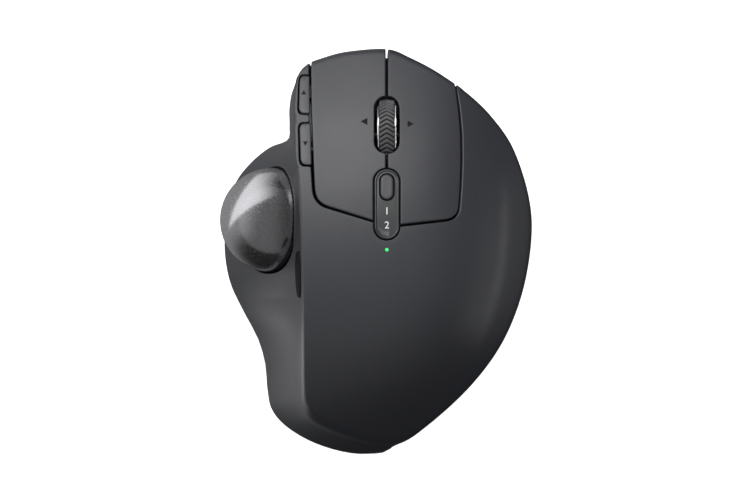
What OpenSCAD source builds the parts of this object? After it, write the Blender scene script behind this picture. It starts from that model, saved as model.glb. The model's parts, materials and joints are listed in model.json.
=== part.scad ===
// Thumb-ball mouse: a sculpted right-hand housing on a steel tilting base.
// Origin at the middle of the footprint on the desk, +X right, +Y towards the nose, +Z up, millimetres.

/* [Housing] */
// height of the crown of the palm above the desk
crown_z = 51.4; // [50:0.1:52]
// wall of the moulded shells
wall = 2; // [1.8:0.1:2.1]
// height of the parting line between the upper shell and the bottom case
split_z = 7.5; // [7.4:0.1:7.7]
// gap round every button
gap = 0.35; // [0.3:0.05:0.45]

/* [Trackball] */
// diameter of the ball
ball_d = 34; // [33.6:0.1:34.2]
// lean of the ball's socket from upright, towards the thumb
ball_lean = 58; // [57:0.5:59]
// gap between the ball and the rim of its opening
rim_gap = 0.5; // [0.4:0.05:0.6]

/* [Wheel] */
// radius of the scroll wheel over its tyre
wheel_r = 12; // [11.6:0.1:12.1]
// width of the scroll wheel
wheel_w = 6.4; // [6:0.1:6.5]
// number of chevron treads round the tyre
treads = 46; // [40:1:50]

/* [Base] */
// thickness of the rubber sole
sole_t = 1.2; // [1:0.1:1.3]
// thickness of the steel plate
plate_t = 1.8; // [1.6:0.1:1.9]
// how far the housing tips over on its base, degrees
tilt = 20; // [15:1:20]

/* [Hidden] */
$fn = 48;

// heights of the base and the case
base_top = sole_t + plate_t;
case_z = base_top + 0.3;
floor_t = 2;
floor_z = case_z + floor_t;

// the tilt hinge, along Y
hinge = [26, 0, case_z + 1.6];
hinge_r = 1.6;
pin_r = 0.9;
hinge_ys = [-14, 22];

// the ball, its socket's axis and the rim of its opening
ball = [-34.1, 10.1, 25.5];
ball_r = ball_d / 2;
rim_r = ball_r + rim_gap;
axis_n = [-sin(ball_lean), 0, cos(ball_lean)];
axis_d = [-cos(ball_lean), 0, -sin(ball_lean)];
rim_c = ball + 4 * axis_n;

// the wheel
wheel = [3.4, 37.6, 25.2];
mid_x = wheel.x;

// the wheel's slot and the bezel of the device switch, both stadiums:
// the middles of their ends along Y, and their radius
slot_y = [35.8, 46.6];
slot_r = 4.1;
bezel_y = [7.9, 22.7];
bezel_r = 4.1;
key_y = [18.9, 22.9];
key_r = 2.1;
light = [mid_x, 0.4];
light_r = 0.6;

// boards, bosses and screws inside
board_t = 1.6;
main_z = floor_z + 3.5;
main_from = [-10, -41];
main_size = [29, 50];
main_right = main_from.x + main_size.x;
standoffs = [for (x = [main_from.x + 3, main_right - 3], y = [main_from.y + 3, main_from.y + main_size.y - 3])
    [x, y]];
switch_z = 11;
switch_t = 1.4;
switch_top = switch_z + switch_t;
switch_posts = [[-15, 26], [-15, 50], [19.5, 33], [11.5, 48]];
usb_z = floor_z - 0.8;
usb = [7.6, 5.6, 2.6];
usb_posts = [[-1.5, 47], [8.5, 47]];
// each screw's place, and how far its post stays under the inside of the top
screws = [[-17.5, -47, 0.3], [3, -54.5, 0.3], [main_right + 3, -25, 0.9], [main_right + 4, 4, 0.4],
    [-14.5, -9.5, 0.4]];
magnet_places = [[-20, -26], [0, -46], [-13, 38], [12, 38]];
magnet_r = 4;
magnet_t = 1.6;
power = [-40, -4];

// ---------- the housing's form ----------
// Each rib runs from the edge of the top down the side to the parting line:
// [edge x, edge y, skirt x, skirt y]. They go counter-clockwise from the nose.
ribs = [
    [3.4, 66.2, 3.4, 61], [-9, 65.4, -8, 60.5], [-17, 63.5, -16, 58.5], [-22.5, 61.3, -22.5, 57],
    [-25.8, 57, -27, 53], [-26.8, 50, -28.4, 47], [-26.9, 42, -28.4, 40.5], [-26.7, 36, -29, 36.3],
    [-26.5, 32, -35, 33.7], [-26, 27, -41, 28.8], [-25.5, 21, -45.8, 22.6], [-25, 13, -48.8, 14],
    [-24.6, 5, -49.6, 5], [-24.3, -3, -49.2, -3.5], [-24.1, -11, -47.3, -11.5], [-24, -20, -43.2, -20],
    [-24, -29, -38.6, -28.8], [-24, -37, -36.3, -37], [-24, -44, -35.6, -45], [-23.6, -50, -34.2, -51.6],
    [-21, -54.8, -29.5, -57.2], [-14, -58.5, -21, -62.3], [-6, -61.2, -11, -65.5], [1, -62.6, -2.5, -66.2],
    [9.2, -62.2, 5, -64.2], [17.5, -57, 14, -52], [31, -44.5, 24, -38], [41.3, -30.5, 30, -26],
    [48, -14, 34.5, -12], [51.2, 4, 36, 3], [50.3, 18, 36, 16], [45.2, 33.6, 33, 28],
    [38, 44, 28, 37], [30.2, 51.5, 22, 45], [19.9, 58.7, 14, 53], [11, 63.4, 8.5, 58],
];
n_ribs = len(ribs);

function rise(t, p) = t > 0 ? pow(t, p) : 0;
// height of the top: a crown that falls forwards, backwards, to the right and most to the rear right
function top_z(p) = crown_z - 31.4 * rise((p.y + 14) / 80, 1.65) - 30.7 * rise((-14 - p.y) / 52, 2)
    - 29 * rise((p.x + 20) / 70, 3.2) - 11 * rise(((p.x - p.y) / sqrt(2) - 10) / 42, 2.5);
function slope(p) = [
    (top_z(p + [0.1, 0]) - top_z(p - [0.1, 0])) / 0.2, (top_z(p + [0, 0.1]) - top_z(p - [0, 0.1])) / 0.2];
// the inside of the top, below p by the wall's upright depth
function drop(p) = wall * min(1.7, norm([slope(p).x, slope(p).y, 1]));
function lift(p, up = 0) = [p.x, p.y, top_z(p) + up];

function spline(a, b, c, d, t) =
    (2 * b + (c - a) * t + (2 * a - 5 * b + 4 * c - d) * t * t + (3 * b - a - 3 * c + d) * t * t * t) / 2;
function rib(i) = ribs[(i + n_ribs) % n_ribs];
function rib_at(s) = let (i = floor(s)) spline(rib(i - 1), rib(i), rib(i + 1), rib(i + 2), s - i);
function edge(s) = let (r = rib_at(s)) [r[0], r[1]];
function skirt(s) = let (r = rib_at(s)) [r[2], r[3]];
function unit(v) = v / norm(v);
function inward(a, b) = let (t = unit(b - a)) [-t.y, t.x];
function edge_in(s, w) = edge(s) + w * inward(edge(s - 0.05), edge(s + 0.05));
function skirt_in(s, w) = skirt(s) + w * inward(skirt(s - 0.05), skirt(s + 0.05));
function mix(a, b, t) = a + (b - a) * t;
function loop(p, k) = let (n = len(p)) [for (i = [0 : n - 1], j = [0 : k - 1])
    spline(p[(i + n - 1) % n], p[i], p[(i + 1) % n], p[(i + 2) % n], j / k)];
// where along the ribs the edge crosses x, between ribs a and b
function rib_of_x(x, a, b, n = 24) = let (m = (a + b) / 2) n == 0 ? m :
    (edge(a).x - x) * (edge(m).x - x) <= 0 ? rib_of_x(x, a, m, n - 1) : rib_of_x(x, m, b, n - 1);
// straight interpolation in a list whose first values rise
function knot(list, s, i = 0) = i >= len(list) - 2 || s < list[i + 1][0]
    ? mix(list[i], list[i + 1], (s - list[i][0]) / (list[i + 1][0] - list[i][0]))
    : knot(list, s, i + 1);

// closed solid between two grids of points, the outer one and the inner one
function quad(a, b, c, d) = [[a, c, b], [a, d, c]];
module sheet(outside, inside) {
    n = len(outside);
    m = len(outside[0]);
    function at(i, j, k) = (i * m + j) * 2 + k;
    points = [for (i = [0 : n - 1], j = [0 : m - 1], k = [0, 1]) k == 0 ? outside[i][j] : inside[i][j]];
    skins = [for (i = [0 : n - 2], j = [0 : m - 2]) each concat(
        quad(at(i, j, 0), at(i + 1, j, 0), at(i + 1, j + 1, 0), at(i, j + 1, 0)),
        quad(at(i, j, 1), at(i, j + 1, 1), at(i + 1, j + 1, 1), at(i + 1, j, 1)))];
    sides = [for (i = [0 : n - 2]) each concat(
        quad(at(i, 0, 0), at(i, 0, 1), at(i + 1, 0, 1), at(i + 1, 0, 0)),
        quad(at(i, m - 1, 0), at(i + 1, m - 1, 0), at(i + 1, m - 1, 1), at(i, m - 1, 1)))];
    ends = [for (j = [0 : m - 2]) each concat(
        quad(at(0, j, 0), at(0, j + 1, 0), at(0, j + 1, 1), at(0, j, 1)),
        quad(at(n - 1, j, 0), at(n - 1, j, 1), at(n - 1, j + 1, 1), at(n - 1, j + 1, 0)))];
    polyhedron(points, concat(skins, sides, ends), convexity = 8);
}

// ---------- the upper shell ----------
left_rib = rib_of_x(-22, 2, 4);
right_rib = rib_of_x(26.4, 33, 34);
// the opening for the buttons, its two thumb-button notches and the bezel: [rib, x, y]
opening = [
    [left_rib, -22, 57.6], [3.2, -24, 57.6], [3.6, -25, 56.6], [4.2, -25.3, 54], [5.2, -25.5, 48],
    [5.5, -25.2, 46], [5.7, -24, 44.4], [5.78, -22, 44.4], [6, -22, 42.1], [6.1, -24, 42.1],
    [6.4, -25.1, 40.5], [6.8, -25.2, 38], [8, -25, 31.5], [8.4, -24.4, 29], [8.7, -23, 27.6],
    [8.9, -21.4, 27.6], [9.5, -21.1, 24], [10, -20.8, 20], [10.7, -20.1, 17], [11.4, -18.2, 14.5],
    [12.2, -13, 12.7], [13.5, -7.5, 11.1], [14.7, -1.9, 9.3], [15.2, -1, 7.9], [24, 7.8, 7.9],
    [25, 12, 8.2], [27, 21, 9.3], [28.25, 25.5, 9.95], [28.75, 26.8, 11.2], [29.25, 27.4, 13.4],
    [29.8, 28, 17],
    [30.6, 28.4, 26], [31.4, 28.3, 36], [32.4, 27.6, 44], [right_rib, 26.4, 52],
];
// ribs at which the shell has points, closest round the notches and the precision button
press_from = 12.55;
press_to = 14.55;
panel_from = 8.6;
panel_to = 13.9;
stations = concat([left_rib],
    [3.2, 3.6, 3.9, 4.2, 4.7, 5.2, 5.5, 5.7, 5.78, 6, 6.1, 6.4, 6.8, 7.1, 7.4, 7.7, 8, 8.2, 8.4, panel_from],
    [for (s = [8.9 : 0.3 : 12.3]) s],
    [press_from, 12.75, 13, 13.3, 13.6, panel_to, 14.15, 14.4, press_to], [for (s = [15 : 0.5 : 18.5]) s],
    [for (s = [19 : 0.33 : 25]) s], [for (s = [25.25 : 0.5 : 33]) s], [right_rib],
    [33.8, 34.3, 34.8, 35.4, 36, 36.5, 37, 37.5, 38, 38.5]);
n_st = len(stations);
front_i = search(right_rib, stations)[0];
press_a = search(press_from, stations)[0];
press_b = search(press_to, stations)[0];
panel_a = search(panel_from, stations)[0];
panel_b = search(panel_to, stations)[0];

// rows of points: across the top from the opening to the edge, then down the side to the parting line
deck_rows = [0, 0.14, 0.32, 0.52, 0.72, 0.88];
side_rows = [0, 0.12, 0.24, 0.36, 0.48, 0.6, 0.74, 0.87, 1];
n_deck = len(deck_rows);
n_rows = n_deck + len(side_rows);
foot_row = n_deck + 3;
lip_row = n_deck + 6;

// the steep band under the thumb-side edge: its height at each rib
band = [[2, 4], [6, 4], [9, 4], [10, 2.7], [11, 2.7], [11.5, 3.6], [12, 5.3], [12.5, 8], [18, 8],
    [23, 4], [24, 4]];
band_lean = 0.22;
function on_thumb_side(s) = s > 3.1 && s < 24;
function depth(s) = knot(band, s)[1];
// how far the side below the band is scooped out
function scoop(s) = s < 8 ? 1 : s < panel_to ? 1.1 : s < 20 ? 1.35 : 1.15;
// the precision button's opening in the band
press_mid = 4.2;
function press_half(s) = 2.4 * sqrt(max(0.2, 1 - pow((s - 13.55) / 1.02, 2)));
function at_press(s) = s > press_from - 0.05 && s < press_to + 0.05;
// the other sides bulge: how far out and how far down a point is, for its place along the side
function outwards(q) = pow(q, 1.35);
function downwards(q) = 1 - pow(1 - q, 1.35);
function side_z(s, j, top) = !on_thumb_side(s) ? mix(top, split_z, downwards(side_rows[j]))
    : j == 0 ? top
    : j == 1 ? top - (at_press(s) ? press_mid - press_half(s) : depth(s) / 3)
    : j == 2 ? top - (at_press(s) ? press_mid + press_half(s) : depth(s) * 2 / 3)
    : mix(top - depth(s), split_z, (j - 3) / 5);
function side_xy(s, j, a, b, z, top) = let (out = unit(b - a) * band_lean)
    !on_thumb_side(s) ? mix(a, b, outwards(side_rows[j]))
    : j <= 3 ? a + out * (top - z)
    : mix(a + out * depth(s), b, pow((j - 3) / 5, scoop(s)));
function is_front(s) = s > right_rib + 0.001;
// the round end of the bezel's opening
function bezel_end(s) = let (a = 180 * (s - 15.2) / 8.8 + 180)
    [mid_x, bezel_y[0]] + (bezel_r + 0.3) * [cos(a), sin(a)];
function deck_start(s) = is_front(s) ? edge_in(s, 3)
    : s > 15.2 && s < 24 ? bezel_end(s)
    : let (k = knot(opening, s)) [k[1], k[2]];
function side_point(s, j, a, b, top) = let (z = side_z(s, j, top), p = side_xy(s, j, a, b, z, top))
    [p.x, p.y, z];
function outer(s, j) = j < n_deck ? lift(mix(deck_start(s), edge(s), deck_rows[j]))
    : side_point(s, j - n_deck, edge(s), skirt(s), top_z(edge(s)));
// the wall is wider at the parting line along the undercut right side
skirt_walls = [[0, wall * 1.2], [24, wall * 1.2], [25, 4], [34, 4], [35, wall * 1.2], [40, wall * 1.2]];
function skirt_wall(s) = knot(skirt_walls, s)[1];
// the rows of the band keep the heights of the outside, as far as the wall under the top allows
function inner_z(s, j, top, under) = let (foot = min(top - depth(s), under - 0.6))
    !on_thumb_side(s) ? side_z(s, j, under)
    : j == 0 ? under
    : at_press(s) && j <= 2 ? min(side_z(s, j, top), under - 0.2)
    : j <= 3 ? mix(under, foot, j / 3)
    : mix(foot, split_z, (j - 3) / 5);
function inner(s, j) = let (start = deck_start(s), w = min(wall * 1.1, 0.6 * norm(edge(s) - start)),
        a = edge_in(s, w), under = top_z(a) - drop(a))
    j < n_deck ? let (p = mix(start, a, deck_rows[j])) lift(p, -drop(p))
    : let (z = inner_z(s, j - n_deck, top_z(edge(s)), under),
        p = side_xy(s, j - n_deck, a, skirt_in(s, skirt_wall(s)), z, under)) [p.x, p.y, z];

// each cell of the grid: 1 is wall, 0 is open, 2 is filled by the panel round the ball
function cell(i, j) = i >= front_i ? (j >= lip_row ? 1 : 0)
    : i >= press_a && i < press_b && j == n_deck + 1 ? 0
    : i >= panel_a && i < panel_b && j >= foot_row ? 2 : 1;
function ix(i, j, k) = ((i % n_st) * n_rows + j) * 2 + k;
function before(i) = (i + n_st - 1) % n_st;
function after(i) = (i + 1) % n_st;
grid_points = [for (i = [0 : n_st - 1], j = [0 : n_rows - 1], k = [0, 1])
    k == 0 ? outer(stations[i], j) : inner(stations[i], j)];
grid_faces = [for (i = [0 : n_st - 1], j = [0 : n_rows - 2]) if (cell(i, j) == 1) each concat(
    quad(ix(i, j, 0), ix(i, j + 1, 0), ix(i + 1, j + 1, 0), ix(i + 1, j, 0)),
    quad(ix(i, j, 1), ix(i + 1, j, 1), ix(i + 1, j + 1, 1), ix(i, j + 1, 1)),
    j == 0 || cell(i, j - 1) == 0 ? quad(ix(i, j, 0), ix(i + 1, j, 0), ix(i + 1, j, 1), ix(i, j, 1)) : [],
    j < n_rows - 2 && cell(i, j + 1) == 0
        ? quad(ix(i, j + 1, 0), ix(i, j + 1, 1), ix(i + 1, j + 1, 1), ix(i + 1, j + 1, 0)) : [],
    cell(before(i), j) == 0 ? quad(ix(i, j, 0), ix(i, j, 1), ix(i, j + 1, 1), ix(i, j + 1, 0)) : [],
    cell(after(i), j) == 0
        ? quad(ix(i + 1, j, 0), ix(i + 1, j + 1, 0), ix(i + 1, j + 1, 1), ix(i + 1, j, 1)) : [])];
foot_j = n_rows - 1;
foot_faces = [for (i = [0 : n_st - 1])
    each quad(ix(i, foot_j, 0), ix(i, foot_j, 1), ix(i + 1, foot_j, 1), ix(i + 1, foot_j, 0))];

// the panel round the ball: rings from the round rim out to the grid's cells about it
border = concat(
    [for (i = [panel_a : panel_b]) [i, foot_row]], [for (j = [foot_row + 1 : foot_j]) [panel_b, j]],
    [for (i = [panel_b - 1 : -1 : panel_a]) [i, foot_j]],
    [for (j = [foot_j - 1 : -1 : foot_row + 1]) [panel_a, j]]);
n_border = len(border);
rings = [0, 0.3, 0.62, 1];
function rim_point(p, sink) = let (v = p - rim_c, a = atan2(v * axis_d, v.y))
    rim_c + rim_r * (cos(a) * [0, 1, 0] + sin(a) * axis_d) - sink * axis_n;
panel_points = [for (b = border, r = rings, k = [0, 1])
    let (p = k == 0 ? outer(stations[b[0]], b[1]) : inner(stations[b[0]], b[1]))
        r == 1 ? p : mix(rim_point(p, k * wall), p, r)];
function px(b, r, k) = len(grid_points) + ((b % n_border) * len(rings) + r) * 2 + k;
panel_faces = [for (b = [0 : n_border - 1]) each concat(
    [for (r = [0 : len(rings) - 2]) each concat(
        quad(px(b, r, 0), px(b + 1, r, 0), px(b + 1, r + 1, 0), px(b, r + 1, 0)),
        quad(px(b, r, 1), px(b, r + 1, 1), px(b + 1, r + 1, 1), px(b + 1, r, 1)))],
    quad(px(b, 0, 0), px(b, 0, 1), px(b + 1, 0, 1), px(b + 1, 0, 0)))];

shell_faces = concat(grid_faces, foot_faces, panel_faces);
module upper_shell() color("dimgray")
    polyhedron(concat(grid_points, panel_points), shell_faces, convexity = 10);

// everything above the inside of the top over a rectangle, for trimming what hangs under it
module roof(x0, y0, x1, y1, clear = 0.2, n = 5) {
    function plan(i, j) = [mix(x0, x1, i / n), mix(y0, y1, j / n)];
    sheet([for (i = [0 : n]) [for (j = [0 : n]) [plan(i, j).x, plan(i, j).y, 80]]],
        [for (i = [0 : n]) [for (j = [0 : n]) lift(plan(i, j), -drop(plan(i, j)) - clear)]]);
}

// ---------- the two main buttons ----------
bezel_gap = bezel_r + gap;
// the inner side of a main button at y, as the distance from the middle line
function half_split(y) = let (
        b = y - bezel_y[1], s = max(slot_y[0] - y, y - slot_y[1]),
        arc_b = b < 0 ? bezel_gap : abs(b) < bezel_gap ? sqrt(bezel_gap * bezel_gap - b * b) : 0,
        arc_s = s < 0 ? slot_r : s < slot_r ? sqrt(slot_r * slot_r - s * s) : 0)
    max(arc_b, arc_s, 0.4);
// rows of a main button from its back to its front edge: the place along the middle line
button_rows = [10, 14.3, 18.5, 22.7, 24.7, 26.2, 27.05, 31.75, 32.2, 32.9, 34.1, 35.8, 39.4, 43, 46.6, 48.4,
    49.6, 50.3, 50.65, 55, 60.5];
front_rows = [0.22, 0.44, 0.64];
n_back = len(button_rows);
// the outer sides of the buttons: [y, x]
left_side = [[15.8, -18.7], [17.6, -19.9], [20, -20.4], [24, -20.6], [28.4, -20.8], [42, -21.2],
    [52, -21.4], [70, -21.5]];
right_side = [[11.2, 26], [13.5, 27], [17, 27.4], [26, 27.8], [36, 27.7], [44, 27.1], [52, 26], [56, 25.6]];
// side: -1 left, 1 right; b0 and b1 are the back corners
function button_side(side) = side < 0 ? left_side : right_side;
function back_corner(side) = side < 0 ? [-18.7, 15.8] : [25.4, 11];
function back_bulge(side) = side < 0 ? [-0.5, -0.7] : [0.3, -0.9];
function front_rib(side, u) = let (
        c = rib_of_x(mid_x + side * 0.4, side < 0 ? 0 : n_ribs - 0.5, side < 0 ? 1 : n_ribs),
        o = side < 0 ? rib_of_x(-21.5, 2, 4) : rib_of_x(25.9, 33, 35))
    mix(c, o, u);
// u runs from the middle line to the outer side, j along the rows
function button_plan(side, u, j) = let (
        v = j / n_back, y0 = button_rows[0], y1 = edge(front_rib(side, 0)).y,
        yi = j < n_back ? button_rows[j] : y1, t = (yi - y0) / (y1 - y0),
        oc = back_corner(side), of = edge(front_rib(side, 1)), yo = mix(oc.y, of.y, t),
        pi = [mid_x + side * half_split(min(yi, 60)), yi], po = [knot(button_side(side), yo)[1], yo],
        pf = edge(front_rib(side, u)), line_f = mix([mid_x + side * 0.4, y1], [of.x, of.y], u))
    mix(pi, po, u) + (1 - t) * back_bulge(side) * sin(180 * u) + pow(t, 3) * (pf - line_f);
button_wall = wall * 0.9;
dish = 0.35;
function button_top(side, u, p) = lift(p, -dish * sin(180 * u) * sin(180 * min(1, max(0, (p.y - 20) / 60))));
// keeps the points of a button's inside between its own two sides
function within(side, p) = let (x = side * (p.x - mid_x), far = side < 0 ? 24.9 : 22.5)
    [mid_x + side * max(0.4, min(far, x)), p.y];
function button_out(side, u, j) = j <= n_back ? button_top(side, u, button_plan(side, u, j))
    : let (s = front_rib(side, u), t = front_rows[j - n_back - 1], a = edge(s),
        p = mix(a, skirt(s), outwards(t))) [p.x, p.y, mix(top_z(a), split_z, downwards(t))];
// the wall is thinner beside the wheel's slot
function thinned(u, y) = y > 31 && y < 51 && u < 0.1 ? 0.58 + 2 * u : 1;
function button_in(side, u, j) = let (s = front_rib(side, u), w = button_wall * 1.15)
    j < n_back ? button_out(side, u, j)
        - [0, 0, thinned(u, button_rows[j]) * button_wall * drop(button_plan(side, u, j)) / wall]
    : let (a = within(side, edge_in(s, w)), top = top_z(a) - button_wall * drop(a) / wall,
        t = j == n_back ? 0 : front_rows[j - n_back - 1],
        p = mix(a, within(side, skirt_in(s, w)), outwards(t))) [p.x, p.y, mix(top, split_z, downwards(t))];
button_us = [0, 0.08, 0.2, 0.36, 0.52, 0.68, 0.84, 1];
module button_cap(side) {
    us = side > 0 ? button_us : [for (i = [len(button_us) - 1 : -1 : 0]) button_us[i]];
    js = [0 : n_back + len(front_rows)];
    sheet([for (u = us) [for (j = js) button_out(side, u, j)]],
        [for (u = us) [for (j = js) button_in(side, u, j)]]);
}
module button_clear(side) {
    us = side > 0 ? button_us : [for (i = [len(button_us) - 1 : -1 : 0]) button_us[i]];
    js = [0 : n_back];
    sheet([for (u = us) [for (j = js) let (p = button_plan(side, u, j)) [p.x, p.y, 80]]],
        [for (u = us) [for (j = js) button_in(side, u, min(j, n_back - 1))
            + (j == n_back ? [0, 4, -4] : [0, 0, 0])]]);
}
module left_button() color("dimgray") button_cap(-1);
module right_button() color("dimgray") button_cap(1);

// the hinge line of the main buttons and the ribs under their caps
pivot = [0, 18, 35.5];
pivot_r = 2.1;
module button_arm(side, x, w, heel) difference() {
    union() {
        translate([x - w / 2, 0, 0]) rotate([90, 0, 90]) linear_extrude(w)
            polygon([[pivot.y - pivot_r, pivot.z], [pivot.y, pivot.z - pivot_r], [27, pivot.z - pivot_r],
                [heel - 3, 20.2], [heel + 3, 20.2], [heel + 5, 24], [heel + 5, 60], [pivot.y - pivot_r, 60]]);
        translate([x - w / 2, pivot.y, pivot.z]) rotate([0, 90, 0]) cylinder(r = pivot_r, h = w);
        translate([x - 3, pivot.y + 2.4, pivot.z]) cube([6, 6, 20]);
    }
    translate([x - 5, pivot.y, pivot.z]) rotate([0, 90, 0]) cylinder(r = pin_r + 0.05, h = 10);
    button_clear(side);
    translate([x - 4, -10, 60]) cube([8, 100, 30]);
}
module left_button_arm() color("gray") button_arm(-1, -11, 3, 47);
module right_button_arm() color("gray") button_arm(1, 16.5, 3, 38);

// ---------- the steel base and its tilt hinge ----------
plate_outline = [[-28, 10], [-26, 36], [-14, 54], [4, 56], [17, 48], [32, 31], [42, 13], [44, -4],
    [38, -23], [24, -42], [5, -55], [-13, -56], [-25, -47], [-28, -20]];
plate_mid = [8, 0];
function shrunk(p, k) = [for (q = p) mix(plate_mid, q, k)];

module sole_pad() color("black") linear_extrude(sole_t) polygon(loop(shrunk(plate_outline, 0.97), 4));

module along_y(p, y, h, r) translate([p.x, y, p.z]) rotate([-90, 0, 0]) cylinder(r = r, h = h);
module along_x(p, x, h, r) translate([x, p.y, p.z]) rotate([0, 90, 0]) cylinder(r = r, h = h);

knuckle = 5.2;
leaf_half = 6.8;
module base_plate() color("silver") difference() {
    union() {
        translate([0, 0, sole_t]) linear_extrude(plate_t) polygon(loop(plate_outline, 4));
        for (y = hinge_ys) {
            along_y(hinge, y - knuckle / 2, knuckle, hinge_r);
            translate([hinge.x - 1.3, y - knuckle / 2, base_top - 0.5])
                cube([2.6, knuckle, hinge.z - base_top + 0.5]);
        }
    }
    for (y = hinge_ys) along_y(hinge, y - knuckle, 2 * knuckle, pin_r);
}

module hinge_pins() color("silver") for (y = hinge_ys) along_y(hinge, y - leaf_half, 2 * leaf_half, pin_r);

module hinge_leaves() color("gainsboro") for (y = hinge_ys) difference() {
    union() {
        translate([14, y - leaf_half, floor_z]) cube([hinge.x - 14, 2 * leaf_half, 1]);
        along_y(hinge, y - leaf_half, 2 * leaf_half, hinge_r);
    }
    translate([hinge.x - 2.2, y - knuckle / 2 - 0.3, 0]) cube([8, knuckle + 0.6, 20]);
    along_y(hinge, y - 10, 20, pin_r + 0.05);
    for (side = [-1, 1]) translate([17, y + side * 4, 0]) cylinder(r = 1.1, h = 20);
}

// ---------- the bottom case ----------
module footprint(inset) polygon([for (s = stations) inset == 0 ? skirt(s) : skirt_in(s, inset)]);
module foot_wall() polygon([for (s = stations) skirt_in(s, skirt_wall(s))]);
// everything below the plane that rests on the base when the housing is tipped over, raised by up
module tipped(up) translate(hinge) rotate([0, -tilt, 0])
    translate([-100, -100, case_z - hinge.z + up - 100]) cube([200, 200, 100]);
module stadium(ys, r) {
    translate([mid_x, ys[0]]) circle(r = r);
    translate([mid_x, ys[1]]) circle(r = r);
    translate([mid_x - r, ys[0]]) square([2 * r, ys[1] - ys[0]]);
}

module bottom_case() color("dimgray") difference() {
    union() {
        difference() {
            translate([0, 0, case_z]) linear_extrude(split_z - case_z) footprint(0);
            difference() {
                translate([0, 0, floor_z]) linear_extrude(10) foot_wall();
                tipped(floor_t);
            }
        }
        for (p = screws) translate([p.x, p.y, case_z]) cylinder(r = 3.2, h = split_z - case_z);
        for (p = standoffs) translate([p.x, p.y, case_z]) cylinder(r = 2.4, h = main_z - case_z);
        for (p = switch_posts) translate([p.x, p.y, case_z]) cylinder(r = 2.2, h = switch_z - case_z);
        for (p = usb_posts) translate([p.x, p.y, case_z]) cylinder(r = 1.6, h = usb_z + usb.z - case_z);
        for (x = [-32.3, -14.7]) translate([x, -41, floor_z - 0.5]) cube([1, 27, 3]);
        for (y = [-42.3, -13.7]) translate([-28, y, floor_z - 0.5]) cube([10, 1, 3]);
    }
    tipped(0);
    for (y = hinge_ys)
        translate([hinge.x - 2.4, y - leaf_half - 0.3, 0]) cube([4.8, 2 * leaf_half + 0.6, 20]);
    for (p = magnet_places) translate([p.x, p.y, case_z - 1]) cylinder(r = magnet_r, h = magnet_t + 1);
    for (p = screws) translate([p.x, p.y, 0]) {
        cylinder(r = 2.6, h = floor_z);
        cylinder(r = 1.4, h = 20);
    }
    for (p = standoffs) translate([p.x, p.y, main_z - 4]) cylinder(r = 0.8, h = 5);
    translate([power.x - 2, power.y - 4.5, 0]) cube([4, 9, 20]);
    translate([ball.x, ball.y, 0]) cylinder(r = 5, h = 20);
    translate([mid_x - usb.x / 2 - 0.3, 53.7, usb_z]) cube([usb.x + 0.6, 10, 10]);
}

module shell_posts() color("dimgray") for (p = screws) difference() {
    translate([p.x, p.y, split_z]) cylinder(r = 3, h = 50);
    translate([p.x, p.y, 0]) cylinder(r = 1.2, h = 16);
    roof(p.x - 4, p.y - 4, p.x + 4, p.y + 4, clear = p.z, n = 2);
}

module case_screws() color("silver") for (p = screws) translate([p.x, p.y, 0]) difference() {
    union() {
        translate([0, 0, floor_z - 1.5]) cylinder(r = 2.4, h = 1.5);
        translate([0, 0, floor_z - 1]) cylinder(r = 1.2, h = 10);
    }
    translate([0, 0, floor_z - 1.6]) cylinder(r = 0.9, h = 1, $fn = 6);
}

module magnets() color("silver") for (p = magnet_places)
    translate([p.x, p.y, case_z]) cylinder(r = magnet_r, h = magnet_t);

// ---------- boards, battery, sockets ----------
module main_board() color("darkgreen") difference() {
    translate([main_from.x, main_from.y, main_z]) cube([main_size.x, main_size.y, board_t]);
    for (p = standoffs) translate([p.x, p.y, main_z - 1]) cylinder(r = 0.9, h = 5);
    translate([12, main_from.y + 12, main_z - 1]) cylinder(r = 3.5, h = 4);
}
main_top = main_z + board_t;
module board_screws() color("silver") for (p = standoffs) translate([p.x, p.y, main_top]) {
    cylinder(r = 1.8, h = 1.2);
    translate([0, 0, -5]) cylinder(r = 0.8, h = 5.5);
}
module controller_chip() color("black") translate([1, -14, main_top]) cube([7, 7, 0.9]);
module radio_chip() color("black") translate([2, -32, main_top]) cube([4, 4, 0.8]);
// a soft-cornered pouch, drawn as its end outline run along Y
module battery() color("silver") translate([-31, -14, floor_z]) rotate([90, 0, 0]) linear_extrude(27)
    polygon([[0, 0], [16, 0], [16, 5], [15, 6], [1, 6], [0, 5]]);
module battery_plug() color("white") difference() {
    translate([-10, -34, main_top]) cube([6, 6, 3]);
    translate([-9, -33.3, main_top + 2]) cube([4, 4.6, 2]);
}
module usb_socket() color("silver") difference() {
    translate([mid_x - usb.x / 2, 54, usb_z]) cube(usb);
    translate([mid_x - usb.x / 2 + 0.5, 55, usb_z + 0.4]) cube([usb.x - 1, 10, usb.z - 0.8]);
}
module usb_board() color("darkgreen") translate([mid_x, 44.5, usb_z + usb.z]) linear_extrude(1)
    polygon([[-7, 0], [5.4, 0], [5.4, 6.2], [0.4, 12], [-4.4, 12.4], [-7, 10]]);
module power_switch() color("gray") difference() {
    translate([power.x - 2.6, power.y - 5.2, floor_z]) cube([5.2, 10.4, 3.4]);
    translate([power.x - 1.4, power.y - 3.6, floor_z - 1]) cube([2.8, 7.2, 3]);
}
// drawn at the off end of its travel along Y, which is 2.4 long
module power_slider() color("white") {
    translate([power.x - 1.1, power.y - 3, floor_z - 1]) cube([2.2, 3, 2.7]);
    difference() {
        translate([power.x - 1.6, power.y - 3.6, case_z + 0.2]) cube([3.2, 4.2, floor_z - case_z - 0.5]);
        for (i = [0 : 2]) translate([power.x - 2, power.y - 2.7 + i, case_z - 0.2]) cube([4, 0.4, 0.7]);
    }
}

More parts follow.
